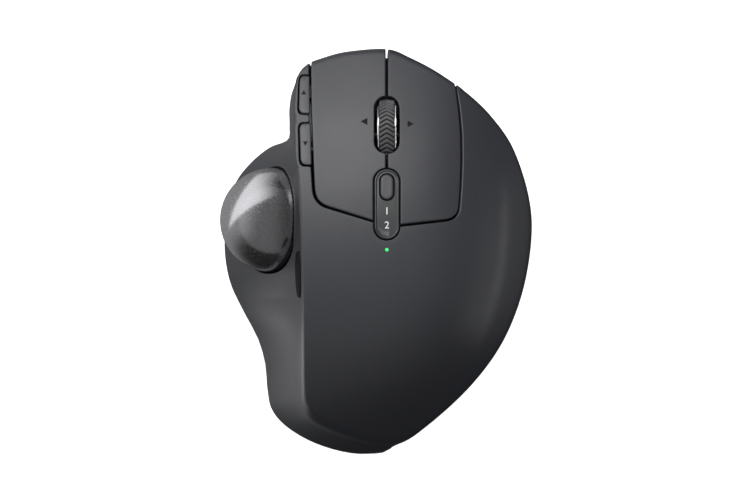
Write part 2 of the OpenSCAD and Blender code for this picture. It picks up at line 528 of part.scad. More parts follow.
// ---------- the ball and its socket, in a frame whose +Z points out of the rim ----------
module at_ball() translate(ball) rotate([0, -ball_lean, 0]) children();
cup_in = ball_r + 0.6;
cup_out = ball_r + 2;
stud_r = 1.25;
pad_z = -cup_out - 0.8;
module studs(r) at_ball() for (a = [60, 180, 300]) rotate([0, 0, a]) rotate([0, 50, 0])
    translate([0, 0, -ball_r - stud_r - 0.05]) sphere(r = r);
module ball_cup() color("black") difference() {
    union() {
        at_ball() difference() {
            sphere(r = cup_out);
            translate([-30, -30, -4.5]) cube([60, 60, 60]);
        }
        at_ball() translate([0, 0, pad_z]) cylinder(r = 6.5, h = 4);
        translate([ball.x, ball.y, floor_z]) cylinder(r = 9, h = 6);
    }
    translate(ball) sphere(r = cup_in);
    translate([ball.x, ball.y, 0]) cylinder(r = 5, h = 20);
    at_ball() translate([0, 0, pad_z - 1]) cylinder(r = 3.5, h = 10);
    studs(stud_r);
}
module bearing_studs() color("white") studs(stud_r);
module trackball() color("slategray") translate(ball) sphere(r = ball_r);
module sensor_lens() color("lightblue") at_ball() translate([0, 0, pad_z - 1.6]) {
    translate([-5, -5, 0]) cube([10, 10, 1.6]);
    translate([0, 0, 1]) cylinder(r = 3, h = 1.4);
}
module ball_sensor() color("black") at_ball() translate([-4, -4.5, pad_z - 3.2]) cube([8, 9, 1.6]);
module sensor_board() color("darkgreen") at_ball() translate([-6, -8, pad_z - 4.4]) cube([12, 16, 1.2]);

// ---------- the inner frame ----------
shelf_z = 30.5;
lever_pivot = [0, 19.5, 20];
module ear(p, x, w, down) {
    along_x(p, x, w, 2);
    translate([x, p.y - 2, p.z - down]) cube([w, 4, down]);
}
module inner_frame() color("gray") difference() {
    union() {
        translate([-7, 11.5, floor_z]) cube([27, 3, shelf_z - floor_z + 1]);
        translate([-14.5, 11.5, shelf_z]) cube([34.5, 14.5, 2]);
        for (x = [-14.5, -9.2, 13.2, 18.4]) ear(pivot, x, 1.6, pivot.z - shelf_z - 1);
        for (x = [-6.5, 11.4]) {
            along_x(lever_pivot, x, 2, 2);
            translate([x, 14, lever_pivot.z - 2]) cube([2, lever_pivot.y - 14, 4]);
        }
    }
    along_x(pivot, -20, 50, pin_r);
    along_x(lever_pivot, -20, 50, pin_r);
    translate([-4, 10, 8]) cube([9, 6, 9]);
    translate([9, 10, 8]) cube([8, 6, 9]);
    translate([-3.5, 10, 21.5]) cube([20, 6, 6]);
}
module pivot_pins() color("silver") {
    along_x(pivot, -14.5, 6.9, pin_r);
    along_x(pivot, 13.2, 6.8, pin_r);
}
module lever_pin() color("silver") along_x(lever_pivot, -6.5, 19.9, pin_r);

// ---------- the front board and its switches ----------
board_outline = [[-18, 22], [22, 22], [22, 41.5], [14.5, 50.3], [9, 56], [-13, 56], [-18, 53]];
module switch_board() color("darkgreen") difference() {
    translate([0, 0, switch_z]) linear_extrude(switch_t) polygon(board_outline);
    translate([mid_x - 4.6, 29.5, 0]) cube([9.2, 16, 20]);
}
module big_switch(x, y) {
    translate([x - 2.9, y - 6.4, switch_top]) cube([5.8, 12.8, 6.5]);
    translate([x, y, switch_top + 6]) cylinder(r = 1, h = 1.3);
}
module left_switch() color("black") big_switch(-11, 47);
module right_switch() color("black") big_switch(16.5, 38);
module tact(x, y, z, w, h) {
    translate([x - w / 2, y - w / 2, z]) cube([w, w, h]);
    translate([x, y, z + h - 0.5]) cylinder(r = w / 5, h = 1.1);
}
module middle_switch() color("black") tact(mid_x, 52.6, switch_top, 5, 3.6);
module tilt_switches() color("black") for (side = [-1, 1])
    tact(mid_x + side * 7, wheel.y, switch_top, 3.6, 3.4);

// ---------- the wheel on its cradle and lever ----------
cradle_z = [17.5, 22.3];
cradle_h = cradle_z[1] - cradle_z[0];
cradle_y = [24, 51.2];
tilt_pivot = [mid_x, 0, 20];
module wheel_lever() color("gray") difference() {
    union() {
        along_x(lever_pivot, mid_x - 7.6, 15.4, 2);
        translate([mid_x - 4, 20.5, cradle_z[0]]) cube([11.6, 3.1, 4.6]);
        translate([mid_x + 7, 21.9, cradle_z[0]]) cube([2.4, 1.7, 4.6]);
        translate([mid_x + 7.8, 21.9, cradle_z[0]]) cube([1.6, 31.5, 4]);
        translate([mid_x - 3, 51.6, cradle_z[0]]) cube([12.4, 1.8, 4]);
    }
    along_x(lever_pivot, -20, 50, pin_r + 0.05);
    along_y(tilt_pivot, 21.2, 40, 1.05);
}
module wheel_cradle() color("dimgray") difference() {
    union() {
        for (x = [mid_x - 6.2, mid_x + 4.6]) {
            translate([x, cradle_y[0], cradle_z[0]]) cube([1.6, cradle_y[1] - cradle_y[0], cradle_h]);
            translate([x, wheel.y - 2.5, cradle_z[1] - 1]) cube([1.6, 5, wheel.z - cradle_z[1] + 1]);
            along_x(wheel, x, 1.6, 2.5);
        }
        for (y = [cradle_y[0], cradle_y[1] - 1.2])
            translate([mid_x - 6.2, y, cradle_z[0]]) cube([12.4, 1.2, cradle_h]);
        for (x = [mid_x - 7.4, mid_x + 6]) translate([x, wheel.y - 2, cradle_z[0]]) cube([1.4, 4, 1.5]);
        along_y(tilt_pivot, 21.4, 3, 1);
        along_y(tilt_pivot, cradle_y[1] - 0.5, 2.5, 1);
    }
    along_x(wheel, -20, 50, 1.3);
}
tyre_w = wheel_w - 1.4;
tread_d = 0.7;
tyre_in = wheel_r - 2.6;
rim_out = wheel_r - 1;
module along_wheel() translate(wheel) rotate([0, 90, 0]) children();
module wheel_hub() color("silver") along_wheel() rotate_extrude($fn = 72) polygon([
    [0, -6], [1.25, -6], [1.25, -wheel_w / 2], [2.6, -wheel_w / 2], [2.6, -1.2], [7.4, -1.2],
    [7.4, -wheel_w / 2], [rim_out - 1, -wheel_w / 2], [rim_out, 0.4 - wheel_w / 2], [rim_out, -tyre_w / 2],
    [tyre_in, -tyre_w / 2], [tyre_in, tyre_w / 2], [rim_out, tyre_w / 2], [rim_out, wheel_w / 2 - 0.4],
    [rim_out - 1, wheel_w / 2], [7.4, wheel_w / 2],
    [7.4, 1.2], [2.6, 1.2], [2.6, wheel_w / 2], [1.25, wheel_w / 2], [1.25, 6], [0, 6]]);
// the tyre: a band whose chevron treads point forwards over the top
tread_cuts = [0, 0.6, 0.7, 0.9];
tread_xs = [-0.5, 0, 0.5];
function tread_top(c) = c < 2 ? wheel_r : wheel_r - tread_d;
function tyre_point(n, x, r) = let (a = (n + 0.95 * abs(x) * 2) * 360 / treads)
    wheel + [x * tyre_w, r * sin(a), r * cos(a)];
function crown(x) = 0.45 * (4 * x * x);
tyre_rings = [for (i = [0 : 4 * treads - 1])
    let (n = floor(i / 4) + tread_cuts[i % 4], r = tread_top(i % 4)) concat(
        [for (x = tread_xs) tyre_point(-n, x, r - crown(x))],
        [for (x = [0.5, -0.5]) tyre_point(-n, x, tyre_in + 0.02)])];
module wheel_tyre() color("black") {
    n = len(tyre_rings);
    m = len(tyre_rings[0]);
    points = [for (ring = tyre_rings) each ring];
    polyhedron(points, [for (i = [0 : n - 1], j = [0 : m - 1])
        let (a = i * m, b = ((i + 1) % n) * m, k = (j + 1) % m) each quad(a + j, b + j, b + k, a + k)],
        convexity = 6);
}
module wheel_encoder() color("black") translate([mid_x - 8.2, 42, cradle_z[0] + 0.3]) cube([2, 6, 4.2]);

// ---------- the thumb buttons ----------
thumb_lean = 27;
thumb_at = [-23, 43, 25];
module on_thumb_board() translate(thumb_at) rotate([-thumb_lean, 0, 0]) children();
module thumb_board() color("darkgreen") on_thumb_board() translate([-1.9, -12, 0]) cube([4.3, 23.4, 1.2]);
module thumb_bracket() color("gray") difference() {
    translate([-24.2, 34, floor_z]) cube([1.8, 18, 40]);
    on_thumb_board() translate([-10, -40, 0]) cube([20, 80, 60]);
    translate([-30, 39, floor_z + 4]) cube([20, 8, 8]);
}
module thumb_switches() color("black") on_thumb_board() for (y = [-8, 8]) tact(0, y, 1.2, 4, 2.4);
// the thumb side of each button's outline: [y, x]
forward_side = [[44.8, -23.7], [46.2, -24.8], [48, -25.1], [54, -24.95], [56.3, -24.55], [57.2, -23.7]];
back_side = [[28, -22.9], [29.3, -24.1], [31.6, -24.65], [38, -24.85], [40.6, -24.6], [41.7, -23.7]];
proud = 0.3;
module thumb_key(side, stem) {
    function across(q, u) = [mix(q[1], knot(left_side, q[0])[1] - gap - 0.05, u), q[0]];
    us = [0, 0.3, 0.65, 1];
    sheet([for (u = us) [for (q = side) lift(across(q, u), proud - 0.25 * pow(2 * u - 1, 2))]],
        [for (u = us) [for (q = side) lift(across(q, u), -1.7)]]);
    difference() {
        translate(stem) cylinder(r = 1.1, h = 4);
        sheet([for (u = [-1, 2]) [for (q = side) [across(q, u).x, q[0], 70]]],
            [for (u = [-1, 2]) [for (q = side) lift([mix(q[1], -21.7, clamp01(u)), q[0]], -1.7)]]);
    }
}
function clamp01(u) = max(0, min(1, u));
module forward_button() color("gray") thumb_key(forward_side, [-23, 52, 25.9]);
module back_button() color("gray") thumb_key(back_side, [-23, 37.8, 33.25]);

// ---------- the device switch, its bezel and the light ----------
module above(up, n = 4) {
    function plan(i, j) = [mix(mid_x - 6, mid_x + 6, i / n), mix(0, 30, j / 2 / n)];
    sheet([for (i = [0 : n]) [for (j = [0 : 2 * n]) [plan(i, j).x, plan(i, j).y, 80]]],
        [for (i = [0 : n]) [for (j = [0 : 2 * n]) lift(plan(i, j), up)]]);
}
module skin_over(up, thick) difference() {
    children();
    above(up);
    difference() {
        translate([-30, -30, 0]) cube([80, 80, 70]);
        above(up - thick);
    }
}
module switch_bezel() color("black") skin_over(0.1, 2.4) difference() {
    linear_extrude(60) stadium(bezel_y, bezel_r);
    linear_extrude(60) stadium(key_y, key_r + gap);
}
module device_button() color("gray") {
    skin_over(0.5, 3) linear_extrude(60) stadium(key_y, key_r);
    translate([mid_x, 20.9, 38.3]) cylinder(r = 1, h = 2.2);
}
top_z0 = shelf_z + 2;
module top_board() color("darkgreen") translate([mid_x - 6, 0, top_z0]) cube([12, 26, 1.2]);
module device_switch() color("black") tact(mid_x, 20.9, top_z0 + 1.2, 6, 3.5);
module status_light() color("lime")
    translate([mid_x - 0.8, light.y - 0.3, top_z0 + 1.2]) cube([1.6, 1.4, 0.7]);
module light_pipe() color("lime") translate([light.x, light.y, top_z0 + 1.9]) cylinder(r = light_r, h = 10.5);

// ---------- the precision button in the steep band ----------
cap_gap = 0.4;
cap_from = press_from + 0.08;
cap_to = press_to - 0.08;
function cap_point(s, f, out) = let (
        a = edge(s), h = press_half(s) - cap_gap, z = top_z(a) - press_mid + f * h,
        o = unit(skirt(s) - a) * (band_lean * (top_z(a) - z) + out))
    [a.x + o.x, a.y + o.y, z];
module precision_button() color("black") {
    ss = [for (i = [0 : 6]) mix(cap_from, cap_to, i / 6)];
    fs = [1, 0.5, 0, -0.5, -1];
    sheet([for (s = ss) [for (f = fs) cap_point(s, f, 0.5 - 0.3 * f * f)]],
        [for (s = ss) [for (f = fs) cap_point(s, f, -1.9) - [0, 0, 0.5 * max(0, f)]]]);
}
precision_at = [-23.2, -7, 46.2];
module precision_board() color("darkgreen") translate([-18.7, -14, 41.5]) cube([1.2, 14, 5.6]);
module precision_switch() color("black") {
    translate([-21, -9.5, 43.7]) cube([2.3, 5, 4]);
    along_x(precision_at, -21.7, 1.5, 0.9);
}

module strip(x, w, points) translate([x, 0, 0]) rotate([90, 0, 90]) linear_extrude(w) polygon(points);
module ribbon_cables() color("white") {
    strip(-3, 6, [[5, main_top], [9, main_top], [22, switch_top], [24, switch_top], [24, switch_top + 0.3],
        [21.8, switch_top + 0.3], [8.8, main_top + 0.3], [5, main_top + 0.3]]);
    strip(4.5, 4, [[6, main_top], [10.8, main_top], [10.8, top_z0], [10.5, top_z0],
        [10.5, main_top + 0.3], [6, main_top + 0.3]]);
    translate([0, -29.5, 0]) rotate([90, 0, 0]) linear_extrude(3)
        polygon([[-15, 10], [-15, 10.6], [-10.6, 12.4], [-10, 12.4], [-10, 11.8], [-10.5, 11.8]]);
}

sole_pad();
base_plate();
hinge_pins();
hinge_leaves();
bottom_case();
upper_shell();
shell_posts();
case_screws();
magnets();
main_board();
board_screws();
controller_chip();
radio_chip();
battery();
battery_plug();
usb_socket();
usb_board();
power_switch();
power_slider();
ball_cup();
bearing_studs();
trackball();
sensor_lens();
ball_sensor();
sensor_board();
inner_frame();
pivot_pins();
left_button();
left_button_arm();
right_button();
right_button_arm();
switch_board();
left_switch();
right_switch();
middle_switch();
tilt_switches();
wheel_lever();
lever_pin();
wheel_cradle();
wheel_hub();
wheel_tyre();
wheel_encoder();
thumb_bracket();
thumb_board();
thumb_switches();
forward_button();
back_button();
switch_bezel();
device_button();
top_board();
device_switch();
status_light();
light_pipe();
precision_button();
precision_board();
precision_switch();
ribbon_cables();
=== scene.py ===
import json
import math

import bpy
import numpy as np
from mathutils import Matrix, Vector
from mathutils.bvhtree import BVHTree

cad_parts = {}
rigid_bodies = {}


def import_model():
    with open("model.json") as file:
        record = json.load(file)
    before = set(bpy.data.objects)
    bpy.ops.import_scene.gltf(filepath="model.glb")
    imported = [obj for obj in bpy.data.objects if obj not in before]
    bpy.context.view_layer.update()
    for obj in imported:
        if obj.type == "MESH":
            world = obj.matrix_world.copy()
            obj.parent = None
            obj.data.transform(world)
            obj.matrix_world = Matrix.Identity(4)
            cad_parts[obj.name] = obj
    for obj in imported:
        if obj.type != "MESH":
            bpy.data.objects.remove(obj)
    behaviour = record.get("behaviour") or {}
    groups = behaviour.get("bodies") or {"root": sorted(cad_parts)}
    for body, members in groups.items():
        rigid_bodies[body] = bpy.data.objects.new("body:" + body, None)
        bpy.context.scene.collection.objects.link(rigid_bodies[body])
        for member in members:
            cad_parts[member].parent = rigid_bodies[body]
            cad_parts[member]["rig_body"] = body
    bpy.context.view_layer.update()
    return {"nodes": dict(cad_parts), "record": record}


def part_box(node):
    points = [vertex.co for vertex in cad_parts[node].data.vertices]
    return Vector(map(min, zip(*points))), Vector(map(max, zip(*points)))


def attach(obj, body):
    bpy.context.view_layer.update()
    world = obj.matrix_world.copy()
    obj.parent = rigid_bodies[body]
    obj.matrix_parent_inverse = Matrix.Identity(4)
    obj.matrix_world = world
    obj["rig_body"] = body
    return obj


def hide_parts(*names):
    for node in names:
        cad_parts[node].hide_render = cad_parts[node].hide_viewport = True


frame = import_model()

bl_info = {
    "name": "Thumb-Ball Mouse",
    "version": (1, 0, 0),
    "blender": (4, 5, 0),
    "location": "View3D > Sidebar > Thumb-Ball Mouse",
    "description": "Dresses the solid parts of a thumb-ball mouse: shells, buttons, wheel, ball and finishes",
    "category": "Add Mesh",
}

MM = 0.001
VIEW_WIDTH = 0.24574


# ---------- the housing's form, in millimetres ----------

# from the edge of the top down to the parting line: edge x, edge y, skirt x, skirt y,
# counter-clockwise from the nose
RIBS = np.array([
    [3.4, 66.2, 3.4, 61], [-9, 65.4, -8, 60.5], [-17, 63.5, -16, 58.5], [-22.5, 61.3, -22.5, 57],
    [-25.8, 57, -27, 53], [-26.8, 50, -28.4, 47], [-26.9, 42, -28.4, 40.5], [-26.7, 36, -29, 36.3],
    [-26.5, 32, -35, 33.7], [-26, 27, -41, 28.8], [-25.5, 21, -45.8, 22.6], [-25, 13, -48.8, 14],
    [-24.6, 5, -49.6, 5], [-24.3, -3, -49.2, -3.5], [-24.1, -11, -47.3, -11.5], [-24, -20, -43.2, -20],
    [-24, -29, -38.6, -28.8], [-24, -37, -36.3, -37], [-24, -44, -35.6, -45], [-23.6, -50, -34.2, -51.6],
    [-21, -54.8, -29.5, -57.2], [-14, -58.5, -21, -62.3], [-6, -61.2, -11, -65.5], [1, -62.6, -3.0, -66.0],
    [8.8, -62.4, 5.3, -63.7], [17.5, -57, 14.3, -52.8], [31, -44.5, 24, -38], [41.3, -30.5, 30, -26],
    [48, -14, 34.5, -12], [51.2, 4, 36, 3], [50.3, 18, 36, 16], [45.2, 33.6, 33, 28],
    [38, 44, 28, 37], [30.2, 51.5, 22, 45], [19.9, 58.7, 14, 53], [11, 63.4, 8.5, 58]], float)
SPLIT_Z = 7.5
MIDDLE_X, HALF_SPLIT = 3.4, 0.38
# the steep band under the thumb-side edge: rib, height
BAND = np.array([[2, 4], [6, 4], [9, 4], [10, 2.7], [11, 2.7], [11.5, 3.6], [12, 5.3], [12.5, 8], [18, 8],
                 [23, 4], [24, 4]], float)
BAND_LEAN = 0.22
# how far the side under the band is scooped out: rib, power
SCOOP = np.array([[7.5, 1], [8.5, 1.1], [13.5, 1.1], [14.5, 1.35], [19.5, 1.35], [20.5, 1.15]], float)
# how soft the edge of the top is: rib, length of the bend on each side of it
BEND = np.array([[0, 2.0], [3, 1.6], [6, 1.5], [10, 1.3], [13.5, 1.4], [15, 2.2], [19, 3.0], [22, 3.2],
                 [25, 2.4], [28, 1.8], [32, 1.6], [34, 1.6], [36, 2.0]], float)
# how far down the side the opening's front lip and the buttons' front edge lie
LIP, BUTTON_LOW = 0.72, 0.585
SHOULDER = 0.55
BEND_ROWS, SIDE_ROWS = 9, 28
ROUNDING = np.array([0, 0.1, 0.28, 0.55, 0.8, 1.0])
RIM_DEPTH, WALL = 1.7, 0.8

WHEEL = np.array([3.4, 37.6, 25.2])
BALL = np.array([-34.1, 10.1, 25.5])
BALL_LEAN = math.radians(58)
BALL_OUT = np.array([-math.sin(BALL_LEAN), 0, math.cos(BALL_LEAN)])
HOLE_UP = np.array([math.cos(BALL_LEAN), 0, math.sin(BALL_LEAN)])
HOLE_R = 17.5
TYRE_R, TYRE_WIDTH, TREAD_DEPTH = 12.0, 5.0, 0.7
SLOT_Y, SLOT_R = (35.8, 46.6), 4.1
BEZEL_Y, BEZEL_R = (7.9, 22.7), 4.1
KEY_Y, KEY_R = (18.9, 22.9), 2.1
LIGHT = (3.4, 0.4)
PRESS_RIBS = (12.6, 14.5)
PRESS_DROP, PRESS_HALF = 4.2, 2.3

# corners of the opening in the top: x, y, rib, length cut off by the corner's curve
OPENING_LEFT = [
    (-22.0, 57.6, None, 0), (-25.5, 57.6, 3.55, 2.8), (-25.8, 44.4, 5.6, 2.6), (-21.95, 44.4, 5.85, 0.5),
    (-21.85, 42.1, 5.87, 0.5), (-25.6, 42.1, 6.04, 2.6), (-25.15, 27.6, 8.86, 2.8), (-21.35, 27.6, 9.1, 0.5),
    (-20.6, 15.35, 10.7, 4.9), (-1.0, 9.4, 15.0, 0)]
OPENING_RIGHT = [
    (7.8, 8.0, 24.05, 0), (27.05, 10.2, 28.6, 4.5), (27.95, 22, 30.2, 4), (28.2, 30.3, 31.0, 2),
    (28.1, 38.2, 31.7, 2), (27.4, 46, 32.6, 2), (26.35, 52.4, None, 0)]
# corners of each main button from its back, at the bezel, out and along its side: x, y, cut
BUTTON_BACK = {-1: [(-1.05, 10.0, 0), (-19.85, 15.95, 4.6), (-20.55, 28.4, 4), (-21.05, 42, 3),
                    (-21.35, 52, 3), (-21.4, 70, 0)],
               1: [(7.85, 8.75, 0), (26.5, 10.8, 4.2), (27.35, 22, 4), (27.6, 30.3, 2), (27.5, 38.2, 2),
                   (26.8, 46, 2), (25.9, 53, 1), (25.3, 62, 0)]}
BUTTON_CORNER_Y = {-1: 16.9, 1: 11.9}
BUTTON_FRONT_X = {-1: -21.4, 1: 25.8}
# corners of the thumb keys: x, y, cut
FORWARD_KEY = [(-21.85, 57.15, 0.5), (-25.1, 57.15, 2.5), (-25.4, 44.85, 2.4), (-21.75, 44.85, 0.5)]
BACK_KEY = [(-21.5, 41.65, 0.5), (-25.2, 41.65, 2.4), (-24.75, 28.05, 2.5), (-21.2, 28.05, 0.5)]


def mix(a, b, t):
    return a + (b - a) * t


def unit(v):
    return v / np.linalg.norm(v, axis=-1, keepdims=True)


def ease(t):
    t = np.clip(t, 0, 1)
    return t * t * (3 - 2 * t)


def rib_curve(s):
    """Edge and skirt at stations s, on smooth closed curves through the ribs."""
    s = np.asarray(s, float)
    i = np.floor(s).astype(int)
    t = (s - i)[..., None]
    a, b, c, d = (RIBS[(i + k) % len(RIBS)] for k in (-1, 0, 1, 2))
    return (2 * b + (c - a) * t + (2 * a - 5 * b + 4 * c - d) * t**2 + (3 * b - a - 3 * c + d) * t**3) / 2


def edge(s):
    return rib_curve(s)[..., :2]


def skirt(s):
    return rib_curve(s)[..., 2:]


def rib_where(x, low, high):
    """The station between two ribs where the edge crosses x."""
    s = np.linspace(low, high, 4000)
    return float(s[np.argmin(np.abs(edge(s)[:, 0] - x))])


def top_z(p):
    """Height of the top: a crown that falls forwards, backwards, to the right and most to the rear right."""
    x, y = p[..., 0], p[..., 1]

    def rise(t, power):
        return np.clip(t, 0, None) ** power

    ridge = np.exp(-((np.hypot(x + 64, y - 10) - 106) / 3.6) ** 2)
    shoulder = ridge * ease((38 - y) / 25) * ease((y + 46) / 14)
    return (51.4 - 31.4 * rise((y + 14) / 80, 1.65) - 30.7 * rise((-14 - y) / 52, 2)
            - 29 * rise((x + 20) / 70, 3.2) - 11 * rise(((x - y) / math.sqrt(2) - 10) / 42, 2.5)
            + SHOULDER * shoulder)


def on_top(p, up=0.0):
    return np.concatenate([p, (top_z(p) + up)[..., None]], axis=-1)


def side_raw(s, q):
    a, b = edge(s), skirt(s)
    top = top_z(a)
    turn = s % len(RIBS)
    thumb = ease((turn - 1.4) / 1.0) * ease((24.9 - turn) / 1.8)
    depth = np.interp(turn, BAND[:, 0], BAND[:, 1])
    lean = unit(b - a) * (BAND_LEAN * depth)[..., None]
    down, out = np.clip(q / 0.3, 0, 1), np.clip((q - 0.3) / 0.7, 0, 1)
    power = np.interp(turn, SCOOP[:, 0], SCOOP[:, 1])
    steep = a + lean * down[..., None] + (b - a - lean) * (out**power)[..., None]
    steep_z = mix(top - depth * down, SPLIT_Z, out)
    plain = mix(a, b, (q**1.35)[..., None])
    plain_z = mix(top, SPLIT_Z, 1 - (1 - q) ** 1.35)
    xy = mix(plain, steep, thumb[..., None])
    return np.concatenate([xy, mix(plain_z, steep_z, thumb)[..., None]], axis=-1)


def side(s, q):
    """Points down the side at stations s: q is 0 at the edge of the top and 1 at the parting line."""
    s, q = np.broadcast_arrays(np.asarray(s, float), np.asarray(q, float))
    h = np.minimum(0.07, np.minimum(q, 1 - q))
    return (side_raw(s, q - h) + 2 * side_raw(s, q) + side_raw(s, q + h)) / 4


def bend_and_side(s, last, before_last, share, low, side_rows=SIDE_ROWS):
    """Rows from the last rows of the top, round the bend at its edge and down the side as far as low."""
    size = np.interp(s % len(RIBS), BEND[:, 0], BEND[:, 1]) * share
    qs = np.linspace(0, 1, 41)
    line = np.stack([side(s, q) for q in qs])
    steps = np.linalg.norm(np.diff(line, axis=0), axis=-1)
    run = np.concatenate([np.zeros((1, len(s))), np.cumsum(steps, axis=0)])
    q0 = np.array([np.interp(min(size[i], 0.3 * run[-1, i]), run[:, i], qs) for i in range(len(s))])
    start, end = last, side(s, q0)
    ahead = unit(last - before_last)
    down = unit(side(s, q0 + 0.02) - end)
    corner = on_top(edge(s))
    reach = [np.linalg.norm(corner - p, axis=-1)[:, None] * 0.62 for p in (start, end)]
    handles = start, start + ahead * reach[0], end - down * reach[1], end
    rows = []
    for t in np.linspace(0, 1, BEND_ROWS + 1)[1:]:
        weights = (1 - t) ** 3, 3 * t * (1 - t) ** 2, 3 * t * t * (1 - t), t**3
        rows.append(sum(w * h for w, h in zip(weights, handles)))
    for t in np.linspace(0, 1, side_rows + 1)[1:]:
        rows.append(side(s, mix(q0, low, t)))
    return np.stack(rows)


# ---------- outlines ----------

def rounded(corners, closed=False, step=0.3):
    """Rows of points along a path whose corners are curved; each corner ends with the length cut off."""
    rows = [np.array(c[:-1], float) for c in corners]
    cuts = [c[-1] for c in corners]
    count = len(rows)
    points = []
    for i in range(count):
        if cuts[i] == 0 or (not closed and i in (0, count - 1)):
            points.append(rows[i])
            continue
        ends = []
        for other in (rows[i - 1], rows[(i + 1) % count]):
            gap = np.linalg.norm((other - rows[i])[:2])
            ends.append(mix(rows[i], other, min(0.5, cuts[i] / gap)))
        for t in np.linspace(0, 1, max(5, int(2 * cuts[i] / step))):
            points.append((1 - t) ** 2 * ends[0] + 2 * t * (1 - t) * rows[i] + t * t * ends[1])
    if closed:
        points.append(points[0])
    return np.array(points)


def spread(path, count, measure=None):
    """count rows along a path, evenly by its length or by another measure of each step."""
    steps = np.linalg.norm(np.diff(path[:, :2], axis=0), axis=1) if measure is None else measure
    run = np.concatenate([[0], np.cumsum(steps)])
    t = np.linspace(0, run[-1], count)
    return np.column_stack([np.interp(t, run, path[:, k]) for k in range(path.shape[1])])


def stadium(ys, radius, count=96):
    """A closed stadium along Y round the middle line, anticlockwise from its front right."""
    half = count // 4
    a = np.linspace(0, math.pi, half * 2, endpoint=True)
    front = np.column_stack([MIDDLE_X + radius * np.cos(a), ys[1] + radius * np.sin(a)])
    back = np.column_stack([MIDDLE_X - radius * np.cos(a), ys[0] - radius * np.sin(a)])
    return np.concatenate([front, back])


def outward(grid):
    """Normals of a grid of points, on the side that faces up at its first corner."""
    n = unit(np.cross(np.gradient(grid, axis=1), np.gradient(grid, axis=0)) + 1e-12)
    return n if n[grid.shape[0] // 3, grid.shape[1] // 3, 2] > 0 else -n


def roll(near, radius):
    """How far a rounded border falls, at a distance from it."""
    x = np.clip(radius - near, 0, radius)
    return (radius - np.sqrt(radius**2 - x**2))[..., None]


def along(grid, axis, backwards=False):
    """Running distance over a grid from its first row or column, or from its last."""
    g = np.flip(grid, axis) if backwards else grid
    steps = np.linalg.norm(np.diff(g, axis=axis), axis=-1)
    pad = np.zeros_like(np.take(steps, [0], axis=axis))
    run = np.concatenate([pad, np.cumsum(steps, axis=axis)], axis=axis)
    return np.flip(run, axis) if backwards else run


# ---------- working in Blender ----------

def deselect():
    bpy.ops.object.select_all(action="DESELECT")


def use(obj):
    deselect()
    obj.select_set(True)
    bpy.context.view_layer.objects.active = obj


def edit(obj, *steps):
    """Runs edit-mode steps on an object with all of it selected first."""
    use(obj)
    bpy.ops.object.mode_set(mode="EDIT")
    bpy.ops.mesh.select_all(action="SELECT")
    for step in steps:
        step()
    bpy.ops.object.mode_set(mode="OBJECT")


def modify(obj, kind, **settings):
    use(obj)
    m = obj.modifiers.new(kind.title(), kind)
    for name, value in settings.items():
        setattr(m, name, value)
    bpy.ops.object.modifier_apply(modifier=m.name)


def merge():
    bpy.ops.mesh.remove_doubles(threshold=2e-6)


def face_along(obj, way):
    """Flips a mesh whose faces point mostly against a direction."""
    way = Vector(way)
    if sum(p.normal.dot(way) * p.area for p in obj.data.polygons) < 0:
        edit(obj, bpy.ops.mesh.flip_normals)


def skin(name, grid, closed=False, up=True):
    """A grid whose vertices are moved to rows of points given in millimetres."""
    if closed:
        grid = np.concatenate([grid, grid[:, :1]], axis=1)
    rows, columns = grid.shape[:2]
    deselect()
    bpy.ops.mesh.primitive_grid_add(x_subdivisions=columns - 1, y_subdivisions=rows - 1, size=1)
    obj = bpy.context.object
    obj.name = obj.data.name = name
    obj.data.vertices.foreach_set("co", (grid * MM).astype(np.float32).ravel())
    obj.data.update()
    edit(obj, merge)
    if up:
        face_along(obj, (0, 0, 1))
    return obj


def join(name, parts):
    deselect()
    for p in parts:
        p.select_set(True)
    bpy.context.view_layer.objects.active = parts[0]
    if len(parts) > 1:
        bpy.ops.object.join()
    obj = bpy.context.object
    obj.name = obj.data.name = name
    return obj


def outside():
    bpy.ops.mesh.normals_make_consistent(inside=False)


def smooth(obj, angle=38):
    use(obj)
    bpy.ops.object.shade_smooth_by_angle(angle=math.radians(angle))


def surface(obj):
    return BVHTree.FromObject(obj, bpy.context.evaluated_depsgraph_get())


def drop_on(tree, xy):
    """Height in millimetres at which a point dropped from above lands."""
    hit = tree.ray_cast(Vector((xy[0] * MM, xy[1] * MM, 0.2)), Vector((0, 0, -1)))[0]
    if hit is None:
        raise RuntimeError(f"nothing lies under {xy}")
    return hit.z / MM


def place(obj, body, finish, slot, *nodes):
    obj.data.materials.clear()
    obj.data.materials.append(bpy.data.materials[f"{finish}_finish"])
    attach(obj, body)
    if nodes:
        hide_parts(*nodes)
    return obj


